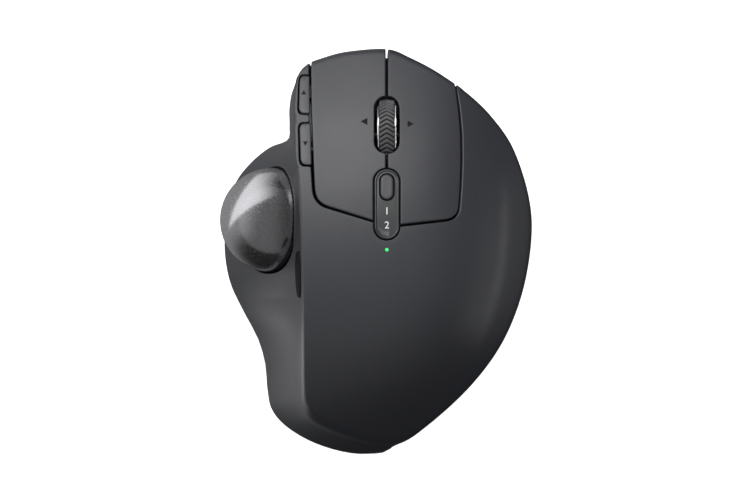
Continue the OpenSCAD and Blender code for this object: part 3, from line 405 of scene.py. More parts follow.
def capped(name, grid, sides, radius, depth, thick, shallow):
    """A moulded cap: a grid whose named sides are rolled down into a rim, shallow between two Ys inside."""
    n = outward(grid)
    near = np.full(grid.shape[:2], 1e3)
    for label, axis, backwards in (("back", 0, False), ("front", 0, True), ("in", 1, False), ("out", 1, True)):
        if label in sides:
            near = np.minimum(near, along(grid, axis, backwards))
    body = grid - n * roll(near, radius)
    n = n.copy()
    if "back" in sides:
        body, n = np.concatenate([body[:1] - n[:1] * depth, body]), np.concatenate([n[:1], n])
    if "front" in sides:
        body, n = np.concatenate([body, body[-1:] - n[-1:] * depth]), np.concatenate([n, n[-1:]])
    if "in" in sides:
        y = body[1:-1, :1, 1:2]
        deep = np.where((y > shallow[0]) & (y < shallow[1]), 0.2, depth)
        first = np.concatenate([body[:1, :1], body[1:-1, :1] - n[1:-1, :1] * deep, body[-1:, :1]])
        body, n = np.concatenate([first, body], axis=1), np.concatenate([n[:, :1], n], axis=1)
    if "out" in sides:
        last = np.concatenate([body[:1, -1:], body[1:-1, -1:] - n[1:-1, -1:] * depth, body[-1:, -1:]])
        body = np.concatenate([body, last], axis=1)
    obj = skin(name, body)
    modify(obj, "SOLIDIFY", thickness=thick * MM, offset=-1)
    smooth(obj)
    return obj


# ---------- finishes ----------

class Field:
    """A value that varies over a surface. Arithmetic on it adds Math nodes."""

    def __init__(self, finish, socket):
        self.finish = finish
        self.socket = socket

    def math(self, operation, a, b):
        return self.finish.node("ShaderNodeMath", {"operation": operation}, {0: a, 1: b})

    def __add__(self, other):
        return self.math("ADD", self, other)

    __radd__ = __add__

    def __sub__(self, other):
        return self.math("SUBTRACT", self, other)

    def __rsub__(self, other):
        return self.math("SUBTRACT", other, self)

    def __mul__(self, other):
        return self.math("MULTIPLY", self, other)

    __rmul__ = __mul__

    def above(self, level, soft):
        """0 below a level and 1 above it, with a soft step between."""
        return self.finish.node("ShaderNodeMapRange", {"interpolation_type": "SMOOTHSTEP"},
                                {0: self, 1: level - soft, 2: level + soft, 3: 0.0, 4: 1.0})


class Finish:
    """A material on Object coordinates, built on one Principled shader."""

    def __init__(self, name, **constants):
        material = bpy.data.materials.new(f"{name}_finish")
        material.use_nodes = True
        self.tree = material.node_tree
        self.shader = self.tree.nodes["Principled BSDF"]
        for label, value in constants.items():
            self.shader.inputs[label.replace("_", " ")].default_value = value
        self.where = self.node("ShaderNodeTexCoord", out="Object")
        material.diffuse_color = self.shader.inputs["Base Color"].default_value[:]

    def node(self, kind, settings=None, values=None, out=0):
        n = self.tree.nodes.new(kind)
        for label, value in (settings or {}).items():
            setattr(n, label, value)
        for label, value in (values or {}).items():
            if isinstance(value, Field):
                self.tree.links.new(value.socket, n.inputs[label])
            else:
                n.inputs[label].default_value = value
        return Field(self, n.outputs[out])

    def stretched(self, x, y, z):
        return self.node("ShaderNodeMapping", values={"Vector": self.where, "Scale": (x, y, z)})

    def noise(self, scale, detail=2.0, where=None):
        return self.node("ShaderNodeTexNoise",
                         values={"Vector": where or self.where, "Scale": scale, "Detail": detail})

    def cells(self, scale, out="Distance"):
        return self.node("ShaderNodeTexVoronoi", values={"Vector": self.where, "Scale": scale}, out=out)

    def near(self, point, reach):
        """1 at a point given in millimetres, falling to 0 at a reach from it."""
        away = self.node("ShaderNodeVectorMath", {"operation": "DISTANCE"},
                         {0: self.where, 1: [c * MM for c in point]}, "Value")
        return 1 - away.above(reach * MM / 2, reach * MM / 2)

    def tint(self, factor, a, b):
        n = self.tree.nodes.new("ShaderNodeMix")
        n.data_type = "RGBA"
        for index, value in ((0, factor), (6, a), (7, b)):
            if isinstance(value, Field):
                self.tree.links.new(value.socket, n.inputs[index])
            else:
                n.inputs[index].default_value = value
        return Field(self, n.outputs[2])

    def feed(self, label, field):
        self.tree.links.new(field.socket, self.shader.inputs[label])

    def bump(self, height, strength, distance):
        self.feed("Normal", self.node("ShaderNodeBump", values={
            "Height": height, "Strength": strength, "Distance": distance * MM}))


class Room(Finish):
    """The light that comes from each direction round the stage."""

    def __init__(self):
        world = bpy.context.scene.world or bpy.data.worlds.new("room")
        bpy.context.scene.world = world
        world.use_nodes = True
        self.tree = world.node_tree
        self.shader = self.tree.nodes["Background"]
        self.shader.inputs["Color"].default_value = (1, 1, 1, 1)
        self.where = self.node("ShaderNodeTexCoord", out="Generated")

    def towards(self, x, y, z):
        """How nearly a direction points along another one."""
        return self.node("ShaderNodeVectorMath", {"operation": "DOT_PRODUCT"},
                         {0: self.where, 1: Vector((x, y, z)).normalized()}, "Value")


def shade(colour, k):
    return (colour[0] * k, colour[1] * k, colour[2] * k, 1.0)


def soft_touch(name, colour, rough, grain=1.0):
    """Rubbery paint over moulded plastic: fine grain, and a faint polish where fingers and thumb rest."""
    f = Finish(name, Base_Color=shade(colour, 1), Roughness=rough)
    f.feed("Base Color", f.tint(f.noise(900, 3.0), shade(colour, 0.93), shade(colour, 1.08)))
    worn = f.near((-11, 42, 36), 14) + f.near((16, 36, 36), 13) + f.near((-33, -18, 28), 16)
    f.feed("Roughness", rough + (f.noise(4200) - 0.5) * 0.12 + (f.noise(35) - 0.5) * 0.05 - worn * 0.035)
    f.bump(f.noise(7500, 1.0) + f.cells(3600) * 0.4, 0.12 * grain, 0.02)


def moulded(name, colour, rough, scale=2600, coat=0.0, sheen=0.5):
    """Plain moulded plastic with a fine spark-eroded texture."""
    f = Finish(name, Base_Color=shade(colour, 1), Roughness=rough, Coat_Weight=coat, Coat_Roughness=0.08,
               Specular_IOR_Level=sheen)
    f.feed("Base Color", f.tint(f.noise(300, 3.0), shade(colour, 0.88), shade(colour, 1.12)))
    f.feed("Roughness", rough + (f.noise(900, 3.0) - 0.5) * 0.16)
    f.bump(f.noise(scale), 0.15, 0.02)


def metal(name, colour, rough, grain):
    """Metal with a grain drawn along X and faint handling marks."""
    f = Finish(name, Base_Color=shade(colour, 1), Roughness=rough, Metallic=1.0)
    drawn = f.noise(grain, 4.0, f.stretched(0.06, 1, 1))
    f.feed("Base Color", f.tint(drawn, shade(colour, 0.86), shade(colour, 1.05)))
    f.feed("Roughness", rough + (drawn - 0.5) * 0.18 + f.noise(120, 4.0).above(0.62, 0.08) * 0.1)
    f.bump(drawn, 0.06, 0.01)


# ---------- sizes and colours that a user would change ----------

class MouseSizes(bpy.types.PropertyGroup):
    """Sizes of the dressed mouse"""
    rim_round: bpy.props.FloatProperty(
        name="Seam rounding", description="Radius of the edges beside every seam", default=0.42 * MM,
        min=0.2 * MM, max=0.6 * MM, unit="LENGTH")
    key_proud: bpy.props.FloatProperty(
        name="Thumb keys proud", description="How far the thumb keys stand over the top", default=0.32 * MM,
        min=0.0, max=0.5 * MM, unit="LENGTH")
    button_dish: bpy.props.FloatProperty(
        name="Button dish", description="Depth of the hollow in each main button", default=0.35 * MM,
        min=0.0, max=0.6 * MM, unit="LENGTH")
    digit_height: bpy.props.FloatProperty(
        name="Digit height", description="Height of the two digits on the bezel", default=2.3 * MM,
        min=1.5 * MM, max=2.8 * MM, unit="LENGTH")
    treads: bpy.props.IntProperty(
        name="Treads", description="Number of chevron treads round the tyre", default=46, min=24, max=60)


class MouseColours(bpy.types.PropertyGroup):
    """Colours of the dressed mouse"""
    graphite: bpy.props.FloatVectorProperty(
        name="Graphite", description="Soft-touch paint of the shells", subtype="COLOR",
        default=(0.0278, 0.0289, 0.0350), min=0, max=1)
    key_grey: bpy.props.FloatVectorProperty(
        name="Key grey", description="Paint of the thumb keys and the device button", subtype="COLOR",
        default=(0.040, 0.041, 0.044), min=0, max=1)
    gloss: bpy.props.FloatVectorProperty(
        name="Gloss black", description="Bezel and ball socket", subtype="COLOR",
        default=(0.012, 0.013, 0.015), min=0, max=1)
    ball_grey: bpy.props.FloatVectorProperty(
        name="Ball grey", description="Body colour of the ball", subtype="COLOR",
        default=(0.46, 0.455, 0.475), min=0, max=1)
    glow: bpy.props.FloatVectorProperty(
        name="Status light", description="Colour of the status light", subtype="COLOR",
        default=(0.04, 0.75, 0.16), min=0, max=1)


class MousePiece:
    bl_options = {"REGISTER", "UNDO"}

    def sizes(self):
        return bpy.context.scene.mouse_sizes

    def colours(self):
        return bpy.context.scene.mouse_colours


class MOUSE_OT_finishes(MousePiece, bpy.types.Operator):
    """Makes every finish and gives each solid part the one for its slot"""
    bl_idname = "mouse.finishes"
    bl_label = "Finishes"

    def execute(self, context):
        c = self.colours()
        soft_touch("shell", c.graphite, 0.4)
        soft_touch("key", c.key_grey, 0.4, 0.8)
        moulded("dark_plastic", (0.022, 0.022, 0.024), 0.42)
        moulded("inner_plastic", (0.02, 0.02, 0.022), 0.5, 1800)
        moulded("white_plastic", (0.72, 0.72, 0.7), 0.35)
        moulded("chip", (0.015, 0.015, 0.016), 0.45, 5200)
        moulded("ceramic", (0.82, 0.81, 0.78), 0.12, 900, 0.6)
        moulded("ink_white", (0.8, 0.81, 0.82), 0.5, 5200)
        moulded("ink_dark", (0.008, 0.008, 0.009), 0.6, 5200, sheen=0.12)
        # near-black plastic, darker than the dark plastic's own colour: painted shade for the precision button's
        # recess and the split under the main buttons
        moulded("press_black", (0.003, 0.003, 0.0034), 0.55, 3600, sheen=0.1)
        metal("steel", (0.5, 0.51, 0.52), 0.34, 700)
        metal("bright_steel", (0.82, 0.82, 0.81), 0.14, 1400)
        metal("foil", (0.55, 0.56, 0.58), 0.42, 300)
        self.gloss_black(c)
        self.rubber()
        self.tyre()
        self.ball(c)
        self.board()
        self.clear()
        self.light(c)
        for part in frame["record"]["subparts"]:
            node = frame["nodes"][part["node"]]
            finish = bpy.data.materials[f"{part['material_slot']}_finish"]
            if not node.material_slots:
                node.data.materials.append(finish)
            for slot in node.material_slots:
                slot.material = finish
        return {"FINISHED"}

    def gloss_black(self, c):
        f = Finish("gloss_black", Base_Color=shade(c.gloss, 1), Roughness=0.36, Coat_Weight=0.2,
                   Coat_Roughness=0.3)
        f.feed("Base Color", f.tint(f.noise(500), shade(c.gloss, 0.8), shade(c.gloss, 1.3)))
        f.feed("Roughness", 0.35 + f.noise(160, 5.0).above(0.6, 0.1) * 0.06 + (f.noise(3000) - 0.5) * 0.04)

    def rubber(self):
        tone = (0.028, 0.028, 0.030)
        f = Finish("rubber", Base_Color=shade(tone, 1), Roughness=0.68, Specular_IOR_Level=0.35)
        f.feed("Base Color", f.tint(f.noise(500, 4.0), shade(tone, 0.7), shade(tone, 1.5)))
        f.feed("Roughness", 0.66 + (f.noise(1500, 3.0) - 0.5) * 0.2)
        f.bump(f.noise(3200, 3.0), 0.25, 0.03)

    def tyre(self):
        """Rubber with painted shade down in the grooves and on the sides: near-black by its distance from the
        wheel's axis.
        """
        f = Finish("tyre", Base_Color=(0.05, 0.05, 0.053, 1), Roughness=0.5)
        turned = f.node("ShaderNodeMapping", values={"Vector": f.where, "Scale": (0, 1, 1)})
        out = f.node("ShaderNodeVectorMath", {"operation": "DISTANCE"},
                     {0: turned, 1: (0, WHEEL[1] * MM, WHEEL[2] * MM)}, "Value")
        worn = f.tint(f.noise(900, 4.0), (0.05, 0.05, 0.053, 1), (0.075, 0.075, 0.079, 1))
        # near-black below the crowns is painted shade in the grooves and on the sides; the crowns keep an uneven
        # worn tone
        f.feed("Base Color", f.tint(out.above(11.45 * MM, 0.2 * MM), (0.006, 0.006, 0.006, 1), worn))
        f.feed("Roughness", 0.48 + (f.noise(1500, 3.0) - 0.5) * 0.16)
        f.bump(f.noise(3200, 3.0), 0.2, 0.02)

    def ball(self, c):
        f = Finish("ball", Base_Color=shade(c.ball_grey, 1), Roughness=0.18, Metallic=0.9)
        flake = f.node("ShaderNodeSeparateColor", values={0: f.cells(3400, "Color")}).above(0.86, 0.06)
        body = f.tint(f.noise(2400, 2.0), shade(c.ball_grey, 0.9), shade(c.ball_grey, 1.1))
        f.feed("Base Color", f.tint(flake * 0.3, body, (0.75, 0.75, 0.77, 1)))
        f.feed("Roughness", 0.17 + flake * 0.2 + (f.noise(2600) - 0.5) * 0.05)

    def board(self):
        tone = (0.012, 0.075, 0.035)
        f = Finish("board", Base_Color=shade(tone, 1), Roughness=0.35, Coat_Weight=0.3, Coat_Roughness=0.2)
        tracks = f.node("ShaderNodeTexBrick", values={
            "Vector": f.where, "Scale": 320.0, "Mortar Size": 0.03, "Color1": (0, 0, 0, 1),
            "Color2": (0.2, 0.2, 0.2, 1), "Mortar": (1, 1, 1, 1)}, out="Fac")
        f.feed("Base Color", f.tint(tracks * 0.8, shade(tone, 1), (0.03, 0.16, 0.075, 1)))
        f.feed("Roughness", 0.32 + f.noise(700) * 0.1)
        f.bump(tracks, 0.2, 0.03)

    def clear(self):
        f = Finish("clear", Base_Color=(0.85, 0.92, 0.95, 1), Roughness=0.08, Transmission_Weight=1.0, IOR=1.49)
        f.feed("Roughness", 0.06 + f.noise(600) * 0.05)

    def light(self, c):
        f = Finish("light", Base_Color=shade(c.glow, 0.6), Roughness=0.25, Emission_Color=shade(c.glow, 1),
                   Emission_Strength=1.6)
        f.feed("Emission Color", f.tint(f.near((LIGHT[0], LIGHT[1], 50.8), 0.8), shade(c.glow, 0.45),
                                        shade(c.glow, 1.6)))


class MOUSE_OT_shell(MousePiece, bpy.types.Operator):
    """Makes the upper shell: top, soft edge, sides, the openings and the hole for the ball"""
    bl_idname = "mouse.shell"
    bl_label = "Upper shell"

    def execute(self, context):
        radius = self.sizes().rim_round / MM
        left, right = rib_where(-22.0, 2, 4), rib_where(26.35, 33, 35)
        path = self.opening(left, right)
        start, s = path[:, :2], path[:, 2]
        grid = self.rows(start, s, radius)
        lip = grid.shape[0] - 1 - int(round(SIDE_ROWS * (1 - LIP) / 0.9))
        n = outward(grid)
        near = along(grid, 0)
        ends = np.minimum(along(grid, 1), along(grid, 1, True))
        ends[lip:] = 1e3
        body = grid - n * roll(np.minimum(near, ends), radius)
        rim = np.concatenate([body[:1] - n[:1] * RIM_DEPTH, body])
        parts = [skin("housing_shell", rim)]
        for k in (0, -1):
            strip = np.stack([body[:lip + 1, k], body[:lip + 1, k] - n[:lip + 1, k] * RIM_DEPTH], axis=1)
            strip[-1, 1] = strip[-1, 0] - n[lip, k] * 0.2
            parts.append(skin("seam_end", strip))
        front = np.linspace(right, left + len(RIBS), 64)
        start_front = mix(edge(front), np.array([MIDDLE_X, 30.0]), 0.06)
        face = self.rows(start_front, front, radius)[lip:]
        face[:, 0], face[:, -1] = grid[lip:, -1], grid[lip:, 0]
        sill = np.concatenate([face[:1] - outward(face)[:1] * RIM_DEPTH * self.facing(face), face])
        parts.append(skin("front_sill", sill, up=False))
        shell = join("housing_shell", parts)
        edit(shell, merge, outside)
        face_along(shell, (0, 0, 1))
        self.cut(shell)
        modify(shell, "SOLIDIFY", thickness=WALL * MM, offset=-1)
        smooth(shell, 42)
        place(shell, "housing", "shell", "shell", "upper_shell")
        return {"FINISHED"}

    def facing(self, face):
        """1 where a grid's normals point away from the middle, and -1 where they point in."""
        n = outward(face)
        middle = n[n.shape[0] // 2, n.shape[1] // 2]
        return 1 if middle[1] > 0 else -1

    def opening(self, left, right):
        """Stations round the opening: x, y and rib, closest where the outline bends."""
        a = rounded([(x, y, left if s is None else s, cut) for x, y, s, cut in OPENING_LEFT])
        t = np.linspace(0, 1, 60)
        turn = math.pi * (1 + t)
        arc = np.column_stack([MIDDLE_X + 4.4 * np.cos(turn), BEZEL_Y[0] + 4.4 * np.sin(turn),
                               mix(15.2, 24.0, t)])
        b = rounded([(x, y, right if s is None else s, cut) for x, y, s, cut in OPENING_RIGHT])
        path = np.concatenate([a, arc, b])
        near = np.linalg.norm(np.diff(path[:, :2], axis=0), axis=1)
        far = np.linalg.norm(np.diff(edge(path[:, 2]), axis=0), axis=1)
        path = spread(path, 500, near * 1.5 + far * 0.5)
        ends = [[path[k] * (1 - w) + path[k + d] * w for w in (0.1, 0.25, 0.45, 0.7)]
                for k, d in ((0, 1), (-1, -1))]
        return np.concatenate([path[:1], ends[0], path[1:-1], ends[1][::-1], path[-1:]])

    def rows(self, start, s, radius):
        """Rows from the opening across the top, round its edge and down to the parting line."""
        a = edge(s)
        reach = np.linalg.norm(a - start, axis=1)
        size = np.interp(s % len(RIBS), BEND[:, 0], BEND[:, 1])
        kept = reach - np.minimum(size, 0.5 * reach)
        share = np.minimum(size, 0.5 * reach) / size
        first = np.minimum(radius, 0.35 * kept)
        steps = [first * k for k in ROUNDING]
        steps += [mix(first, kept, t) for t in np.linspace(0, 1, 31)[1:]]
        top = np.stack([on_top(start + (a - start) * (d / reach)[:, None]) for d in steps])
        ahead = on_top(start + (a - start) * ((kept - 0.05) / reach)[:, None])
        rest = bend_and_side(s, top[-1], ahead, share, 1.0)
        return np.concatenate([top, rest])

    def cut(self, shell):
        """Cuts the ball's hole and the precision slot, and turns their rims inwards."""
        self.hole_rim(surface(shell))
        for cutter in (self.ball_cutter(), self.slot_cutter()):
            self.knife(shell, cutter)
        shell.data.attributes.remove(shell.data.attributes["kept"])

    def ball_cutter(self):
        """A round cutter along the socket's axis, squarer at its upper rear corner."""
        deselect()
        bpy.ops.mesh.primitive_cylinder_add(vertices=160, radius=HOLE_R * MM, depth=34 * MM)
        obj = bpy.context.object
        for v in obj.data.vertices:
            k = hole_radius(v.co.y, v.co.x) / HOLE_R
            v.co.x *= k
            v.co.y *= k
        turn = Vector((0, 0, 1)).rotation_difference(Vector(BALL_OUT)).to_matrix().to_4x4()
        obj.data.transform(Matrix.Translation(Vector((BALL + BALL_OUT * 12) * MM)) @ turn)
        return obj, self.in_ball_hole, -Vector(BALL_OUT) * 1.6 * MM

    def in_ball_hole(self, p):
        v = np.array(p) / MM - BALL
        along_axis, front, up = v @ BALL_OUT, v[1], v @ HOLE_UP
        return along_axis > -9 and math.hypot(front, up) < hole_radius(front, up) - 0.02

    def slot_cutter(self):
        outer, inner = press_outline(0.0, 4.0), press_outline(0.0, -4.0)
        rows = np.stack([inner, outer])
        obj = skin("slot_cutter", rows, closed=True, up=False)
        edit(obj, self.close_ends, outside)
        tree = surface(obj)
        away = Vector((-1.0, 0.0, 0.1)).normalized()

        def inside(p):
            hits, origin = 0, p.copy()
            if not (-0.030 < p.x < -0.0225 and -0.018 < p.y < 0.004 and p.z > 0.036):
                return False
            for _ in range(8):
                hit = tree.ray_cast(origin, away)[0]
                if hit is None:
                    break
                hits += 1
                origin = hit + away * 1e-6
            return hits % 2 == 1
        return obj, inside, Vector((1.6 * MM, 0, 0))

    def close_ends(self):
        bpy.ops.mesh.select_all(action="DESELECT")
        bpy.ops.mesh.select_non_manifold()
        bpy.ops.mesh.edge_face_add()
        bpy.ops.mesh.select_all(action="SELECT")

    def knife(self, shell, cutter):
        """Cuts the shell along a closed cutter, drops what lies inside it and turns the rim inwards."""
        obj, inside, inwards = cutter
        tree = surface(obj)
        mark = shell.data.attributes.get("kept") or shell.data.attributes.new("kept", "INT", "FACE")
        mark.data.foreach_set("value", [1] * len(shell.data.polygons))
        shell = join(shell.name, [shell, obj])
        mesh = shell.data
        self.pick(shell, "FACE", lambda: [v.value == 0 for v in mesh.attributes["kept"].data])
        bpy.ops.mesh.intersect(mode="SELECT_UNSELECT", separate_mode="NONE", solver="EXACT")
        bpy.ops.object.mode_set(mode="OBJECT")
        self.pick(shell, "FACE", lambda: [v.value == 0 or inside(p.center) for v, p in
                                          zip(mesh.attributes["kept"].data, mesh.polygons)])
        bpy.ops.mesh.delete(type="FACE")
        bpy.ops.mesh.select_all(action="SELECT")
        bpy.ops.mesh.remove_doubles(threshold=3e-6)
        bpy.ops.object.mode_set(mode="OBJECT")
        touching = [tree.find_nearest(v.co, 4e-5)[0] is not None for v in mesh.vertices]
        open_edges = set(boundary(mesh))
        self.pick(shell, "EDGE", lambda: [i in open_edges and all(touching[k] for k in e.vertices)
                                          for i, e in enumerate(mesh.edges)])
        bpy.ops.mesh.extrude_edges_move(TRANSFORM_OT_translate={"value": inwards})
        bpy.ops.mesh.select_mode(type="VERT")
        bpy.ops.object.mode_set(mode="OBJECT")

    def pick(self, obj, kind, wanted):
        """Selects only the wanted faces or edges and stays in edit mode."""
        use(obj)
        bpy.ops.object.mode_set(mode="EDIT")
        bpy.ops.mesh.select_mode(type=kind)
        bpy.ops.mesh.select_all(action="DESELECT")
        bpy.ops.object.mode_set(mode="OBJECT")
        items = obj.data.polygons if kind == "FACE" else obj.data.edges
        items.foreach_set("select", wanted())
        bpy.ops.object.mode_set(mode="EDIT")

    def hole_rim(self, tree):
        """A thin bead round the ball's hole, where its wall meets the side."""
        turns = np.linspace(0, 2 * math.pi, 161)[:-1]
        rim = []
        for a in turns:
            ray = np.cos(a) * np.array([0.0, 1.0, 0.0]) + np.sin(a) * HOLE_UP
            far = BALL + ray * (hole_radius(math.cos(a), math.sin(a)) + 0.25) + BALL_OUT * 26
            hit = tree.ray_cast(Vector(far * MM), -Vector(BALL_OUT))[0]
            rim.append((np.array(hit) / MM, ray))
        points = np.array([r[0] for r in rim])
        for _ in range(3):
            points = (np.roll(points, 1, axis=0) + 2 * points + np.roll(points, -1, axis=0)) / 4
        rays = np.array([r[1] for r in rim])
        ring = np.stack([points + 0.36 * (rays * math.cos(b) + BALL_OUT * math.sin(b)) - BALL_OUT * 0.16
                         for b in np.linspace(0, 2 * math.pi, 13)])
        bead = skin("socket_bead", ring, closed=True, up=False)
        edit(bead, merge, outside)
        smooth(bead, 60)
        place(bead, "housing", "shell", "shell")


def hole_radius(front, up):
    """Radius of the ball's hole towards a direction across its axis."""
    corner = math.sin(2 * math.atan2(up, -front)) if up > 0 > front else 0
    return HOLE_R * (1 + 0.08 * corner**2)


def boundary(mesh):
    """Indices of a mesh's open edges."""
    counts = np.zeros(len(mesh.edges), int)
    for loop in mesh.loops:
        counts[loop.edge_index] += 1
    return np.nonzero(counts == 1)[0]


def press_outline(gap, out, tilt=0.0, count=48):
    """The precision button's outline on the steep band, moved out from it, more at its foot: a closed row."""
    t = np.linspace(0, math.pi, count // 2, endpoint=False)
    middle, half = (PRESS_RIBS[0] + PRESS_RIBS[1]) / 2, (PRESS_RIBS[1] - PRESS_RIBS[0]) / 2 - gap / 8.6
    rows = []
    for turn in (t, t + math.pi):
        s = middle - half * np.cos(turn)
        rise = (PRESS_HALF - gap) * np.abs(np.sin(turn)) ** 0.8 * np.sign(np.sin(turn))
        a = edge(s)
        z = top_z(a) - PRESS_DROP + rise
        away = BAND_LEAN * (PRESS_DROP - rise) + out + tilt * (0.5 - rise / PRESS_HALF / 2)
        rows.append(np.column_stack([a + unit(skirt(s) - a) * away[:, None], z]))
    return np.concatenate(rows)


class MOUSE_OT_buttons(MousePiece, bpy.types.Operator):
    """Makes the two main buttons, which run over the front edge of the housing"""
    bl_idname = "mouse.buttons"
    bl_label = "Main buttons"

    def execute(self, context):
        radius, dish = self.sizes().rim_round / MM, self.sizes().button_dish / MM
        self.split_rib()
        for hand, name, body in ((-1, "left", "left_click"), (1, "right", "right_click")):
            grid = self.face_rows(hand, radius, dish)
            cap = capped(f"{name}_cap", grid, ("back", "front", "in", "out"), radius, 1.5, 0.8, (30.5, 52.0))
            place(cap, body, "shell", "shell", f"{name}_button")
        return {"FINISHED"}

    def split_rib(self):
        """A rib of the housing under the split ahead of the wheel, with a leg down to the front sill, near-black
        as painted shade in the split.
        """
        y = np.linspace(51.3, 62.6, 14)
        line = np.column_stack([np.full(len(y), MIDDLE_X), y])
        bar = np.concatenate([on_top(line, -3.8), on_top(line, -4.5)[::-1]])
        high = on_top(np.array([[MIDDLE_X, 60.9], [MIDDLE_X, 61.7]]), -4.2)
        leg = np.concatenate([high, high[::-1] * [1, 1, 0] + [0, 0, 8.3]])
        parts = []
        for profile, half, off in ((bar, 1.1, 0), (leg, 0.14, -0.08)):
            rows = np.stack([profile + [off + x, 0, 0] for x in (-half, -half + 0.05, half - 0.05, half)])
            part = skin("split_rib", rows, closed=True, up=False)
            edit(part, lambda: bpy.ops.mesh.fill_holes(sides=0), outside)
            parts.append(part)
        rib = join("split_rib", parts)
        smooth(rib, 30)
        # near-black finish: painted shade in the split between the main buttons
        place(rib, "housing", "press_black", "dark_plastic")

    def half_split(self, y):
        """Distance of a button's inner side from the middle line: it clears the bezel and the wheel's slot."""
        bezel_r = BEZEL_R + 0.35
        b = y - BEZEL_Y[1]
        s = np.maximum(SLOT_Y[0] - y, y - SLOT_Y[1])
        arc_b = np.where(b < 0, bezel_r, np.sqrt(np.clip(bezel_r**2 - b**2, 0, None)))
        arc_s = np.where(s < 0, SLOT_R, np.sqrt(np.clip(SLOT_R**2 - s**2, 0, None)))
        return np.maximum(np.maximum(arc_b, arc_s), HALF_SPLIT)

    def inner_rows(self, y0, y1):
        bends = [(BEZEL_Y[1] + 4.43 * math.sin(a)) for a in np.linspace(0, 1.5, 12)]
        bends += [SLOT_Y[0] - 4.08 * math.sin(a) for a in np.linspace(1.5, 0, 12)]
        bends += [SLOT_Y[1] + 4.08 * math.sin(a) for a in np.linspace(0, 1.5, 12)]
        edges = [y0 + d for d in (0, 0.04, 0.12, 0.23, 0.34, 0.42, 0.8)]
        plain = np.concatenate([np.linspace(y0 + 1.6, BEZEL_Y[1], 12, endpoint=False), np.linspace(27.2, 31.6, 6),
                                np.linspace(SLOT_Y[0], SLOT_Y[1], 10)[1:-1], np.linspace(50.8, y1, 18)])
        return np.array(sorted(set(np.round(np.concatenate([edges, bends, plain]), 4))))

    def face_rows(self, hand, radius, dish):
        """Rows from the back of a button forwards over its top, round the front edge and down the front."""
        path = rounded([(x, y, cut) for x, y, cut in BUTTON_BACK[hand]])
        turn = int(np.argmax(path[:, 1] > BUTTON_CORNER_Y[hand]))
        back = spread(path[:turn + 1], 400)
        split_rib = rib_where(MIDDLE_X + hand * HALF_SPLIT, *((0, 1) if hand < 0 else (35, 36)))
        outer_rib = rib_where(BUTTON_FRONT_X[hand], *((2, 4) if hand < 0 else (33, 35)))
        width = 21.0
        us = np.concatenate([ROUNDING * radius / width, np.linspace(radius / width, 1 - radius / width, 36)[1:-1],
                             1 - ROUNDING[::-1] * radius / width])
        stations = mix(split_rib, outer_rib, us)
        front = edge(stations)
        front_y = front[-1, 1]
        outer = path[turn:]
        outer = outer[outer[:, 1] < front_y - 0.2]
        outer = spread(np.concatenate([outer, front[-1:]]), 400)
        y0, y1 = path[0, 1], front[0, 1]
        yi = self.inner_rows(y0, y1 - 2.0)
        t = (yi - y0) / (y1 - y0)
        inner = np.column_stack([MIDDLE_X + hand * self.half_split(yi), yi])
        k = np.linspace(0, 1, 400)
        po = np.column_stack([np.interp(t, k, outer[:, i]) for i in (0, 1)])
        pb = np.column_stack([np.interp(us, k, back[:, i]) for i in (0, 1)])
        u, v = us[None, :, None], t[:, None, None]
        start = np.array([inner[0], outer[0], front[0], front[-1]])
        plan = ((1 - u) * inner[:, None] + u * po[:, None] + (1 - v) * pb[None] + v * front[None]
                - (1 - u) * (1 - v) * start[0] - u * (1 - v) * start[1] - (1 - u) * v * start[2]
                - u * v * start[3])
        across = np.clip((plan[..., 0] - MIDDLE_X) / (po[:, None, 0] - MIDDLE_X), 0, 1)
        hollow = dish * np.sin(math.pi * across) * np.sin(math.pi * np.clip((plan[..., 1] - 20) / 60, 0, 1))
        top = on_top(plan, -hollow)
        rest = bend_and_side(stations, top[-1], top[-2], 1.0, BUTTON_LOW, 14)
        return np.concatenate([top, rest])


def ring_cap(name, loops, spine, lifts, depth, thick=0.6):
    """A cap from closed loops of points, outermost first, closed over a spine of points."""
    rows = [on_top(loop, lift) for loop, lift in zip(loops, lifts)]
    rows = [rows[0] - np.array([0, 0, depth])] + rows + [on_top(spine, lifts[-1])]
    obj = skin(name, np.stack(rows), closed=True)
    modify(obj, "SOLIDIFY", thickness=thick * MM, offset=-1)
    smooth(obj, 50)
    return obj


def inset(loop, spine, distance):
    """A loop drawn in towards its spine by a distance."""
    gap = np.linalg.norm(spine - loop, axis=1, keepdims=True)
    return mix(loop, spine, np.minimum(distance / gap, 1))


def key_cap(name, loop, spine, proud, steps, crown, inner, depth):
    """A key's cap, rounded over the steps in from its edge and crowned or hollowed towards its spine."""
    loops = [inset(loop, spine, d) for d in steps]
    lifts = [proud - float(roll(np.array(d), steps[-1])[0]) for d in steps]
    loops += [mix(loops[-1], spine, k) for k in inner]
    lifts += [proud + crown * k for k in inner]
    return ring_cap(name, loops, spine, lifts, depth)


class MOUSE_OT_thumb_keys(MousePiece, bpy.types.Operator):
    """Makes the forward and back keys beside the left main button"""
    bl_idname = "mouse.thumb_keys"
    bl_label = "Thumb keys"

    def execute(self, context):
        proud = self.sizes().key_proud / MM
        for name, corners in (("forward", FORWARD_KEY), ("back", BACK_KEY)):
            loop = spread(rounded(corners, closed=True), 121)[:-1]
            low, high = loop[:, 1].min() + 2.0, loop[:, 1].max() - 2.0
            middle = (loop[:, 0].min() + loop[:, 0].max()) / 2 + 0.15
            spine = np.column_stack([np.full(len(loop), middle), np.clip(loop[:, 1], low, high)])
            cap = key_cap(f"{name}_key_cap", loop, spine, proud, (0, 0.05, 0.13, 0.25, 0.38, 0.5),
                          0.12, (0.25, 0.5, 0.75), 0.35)
            place(cap, f"{name}_key", "key", "key", f"{name}_button")
        return {"FINISHED"}


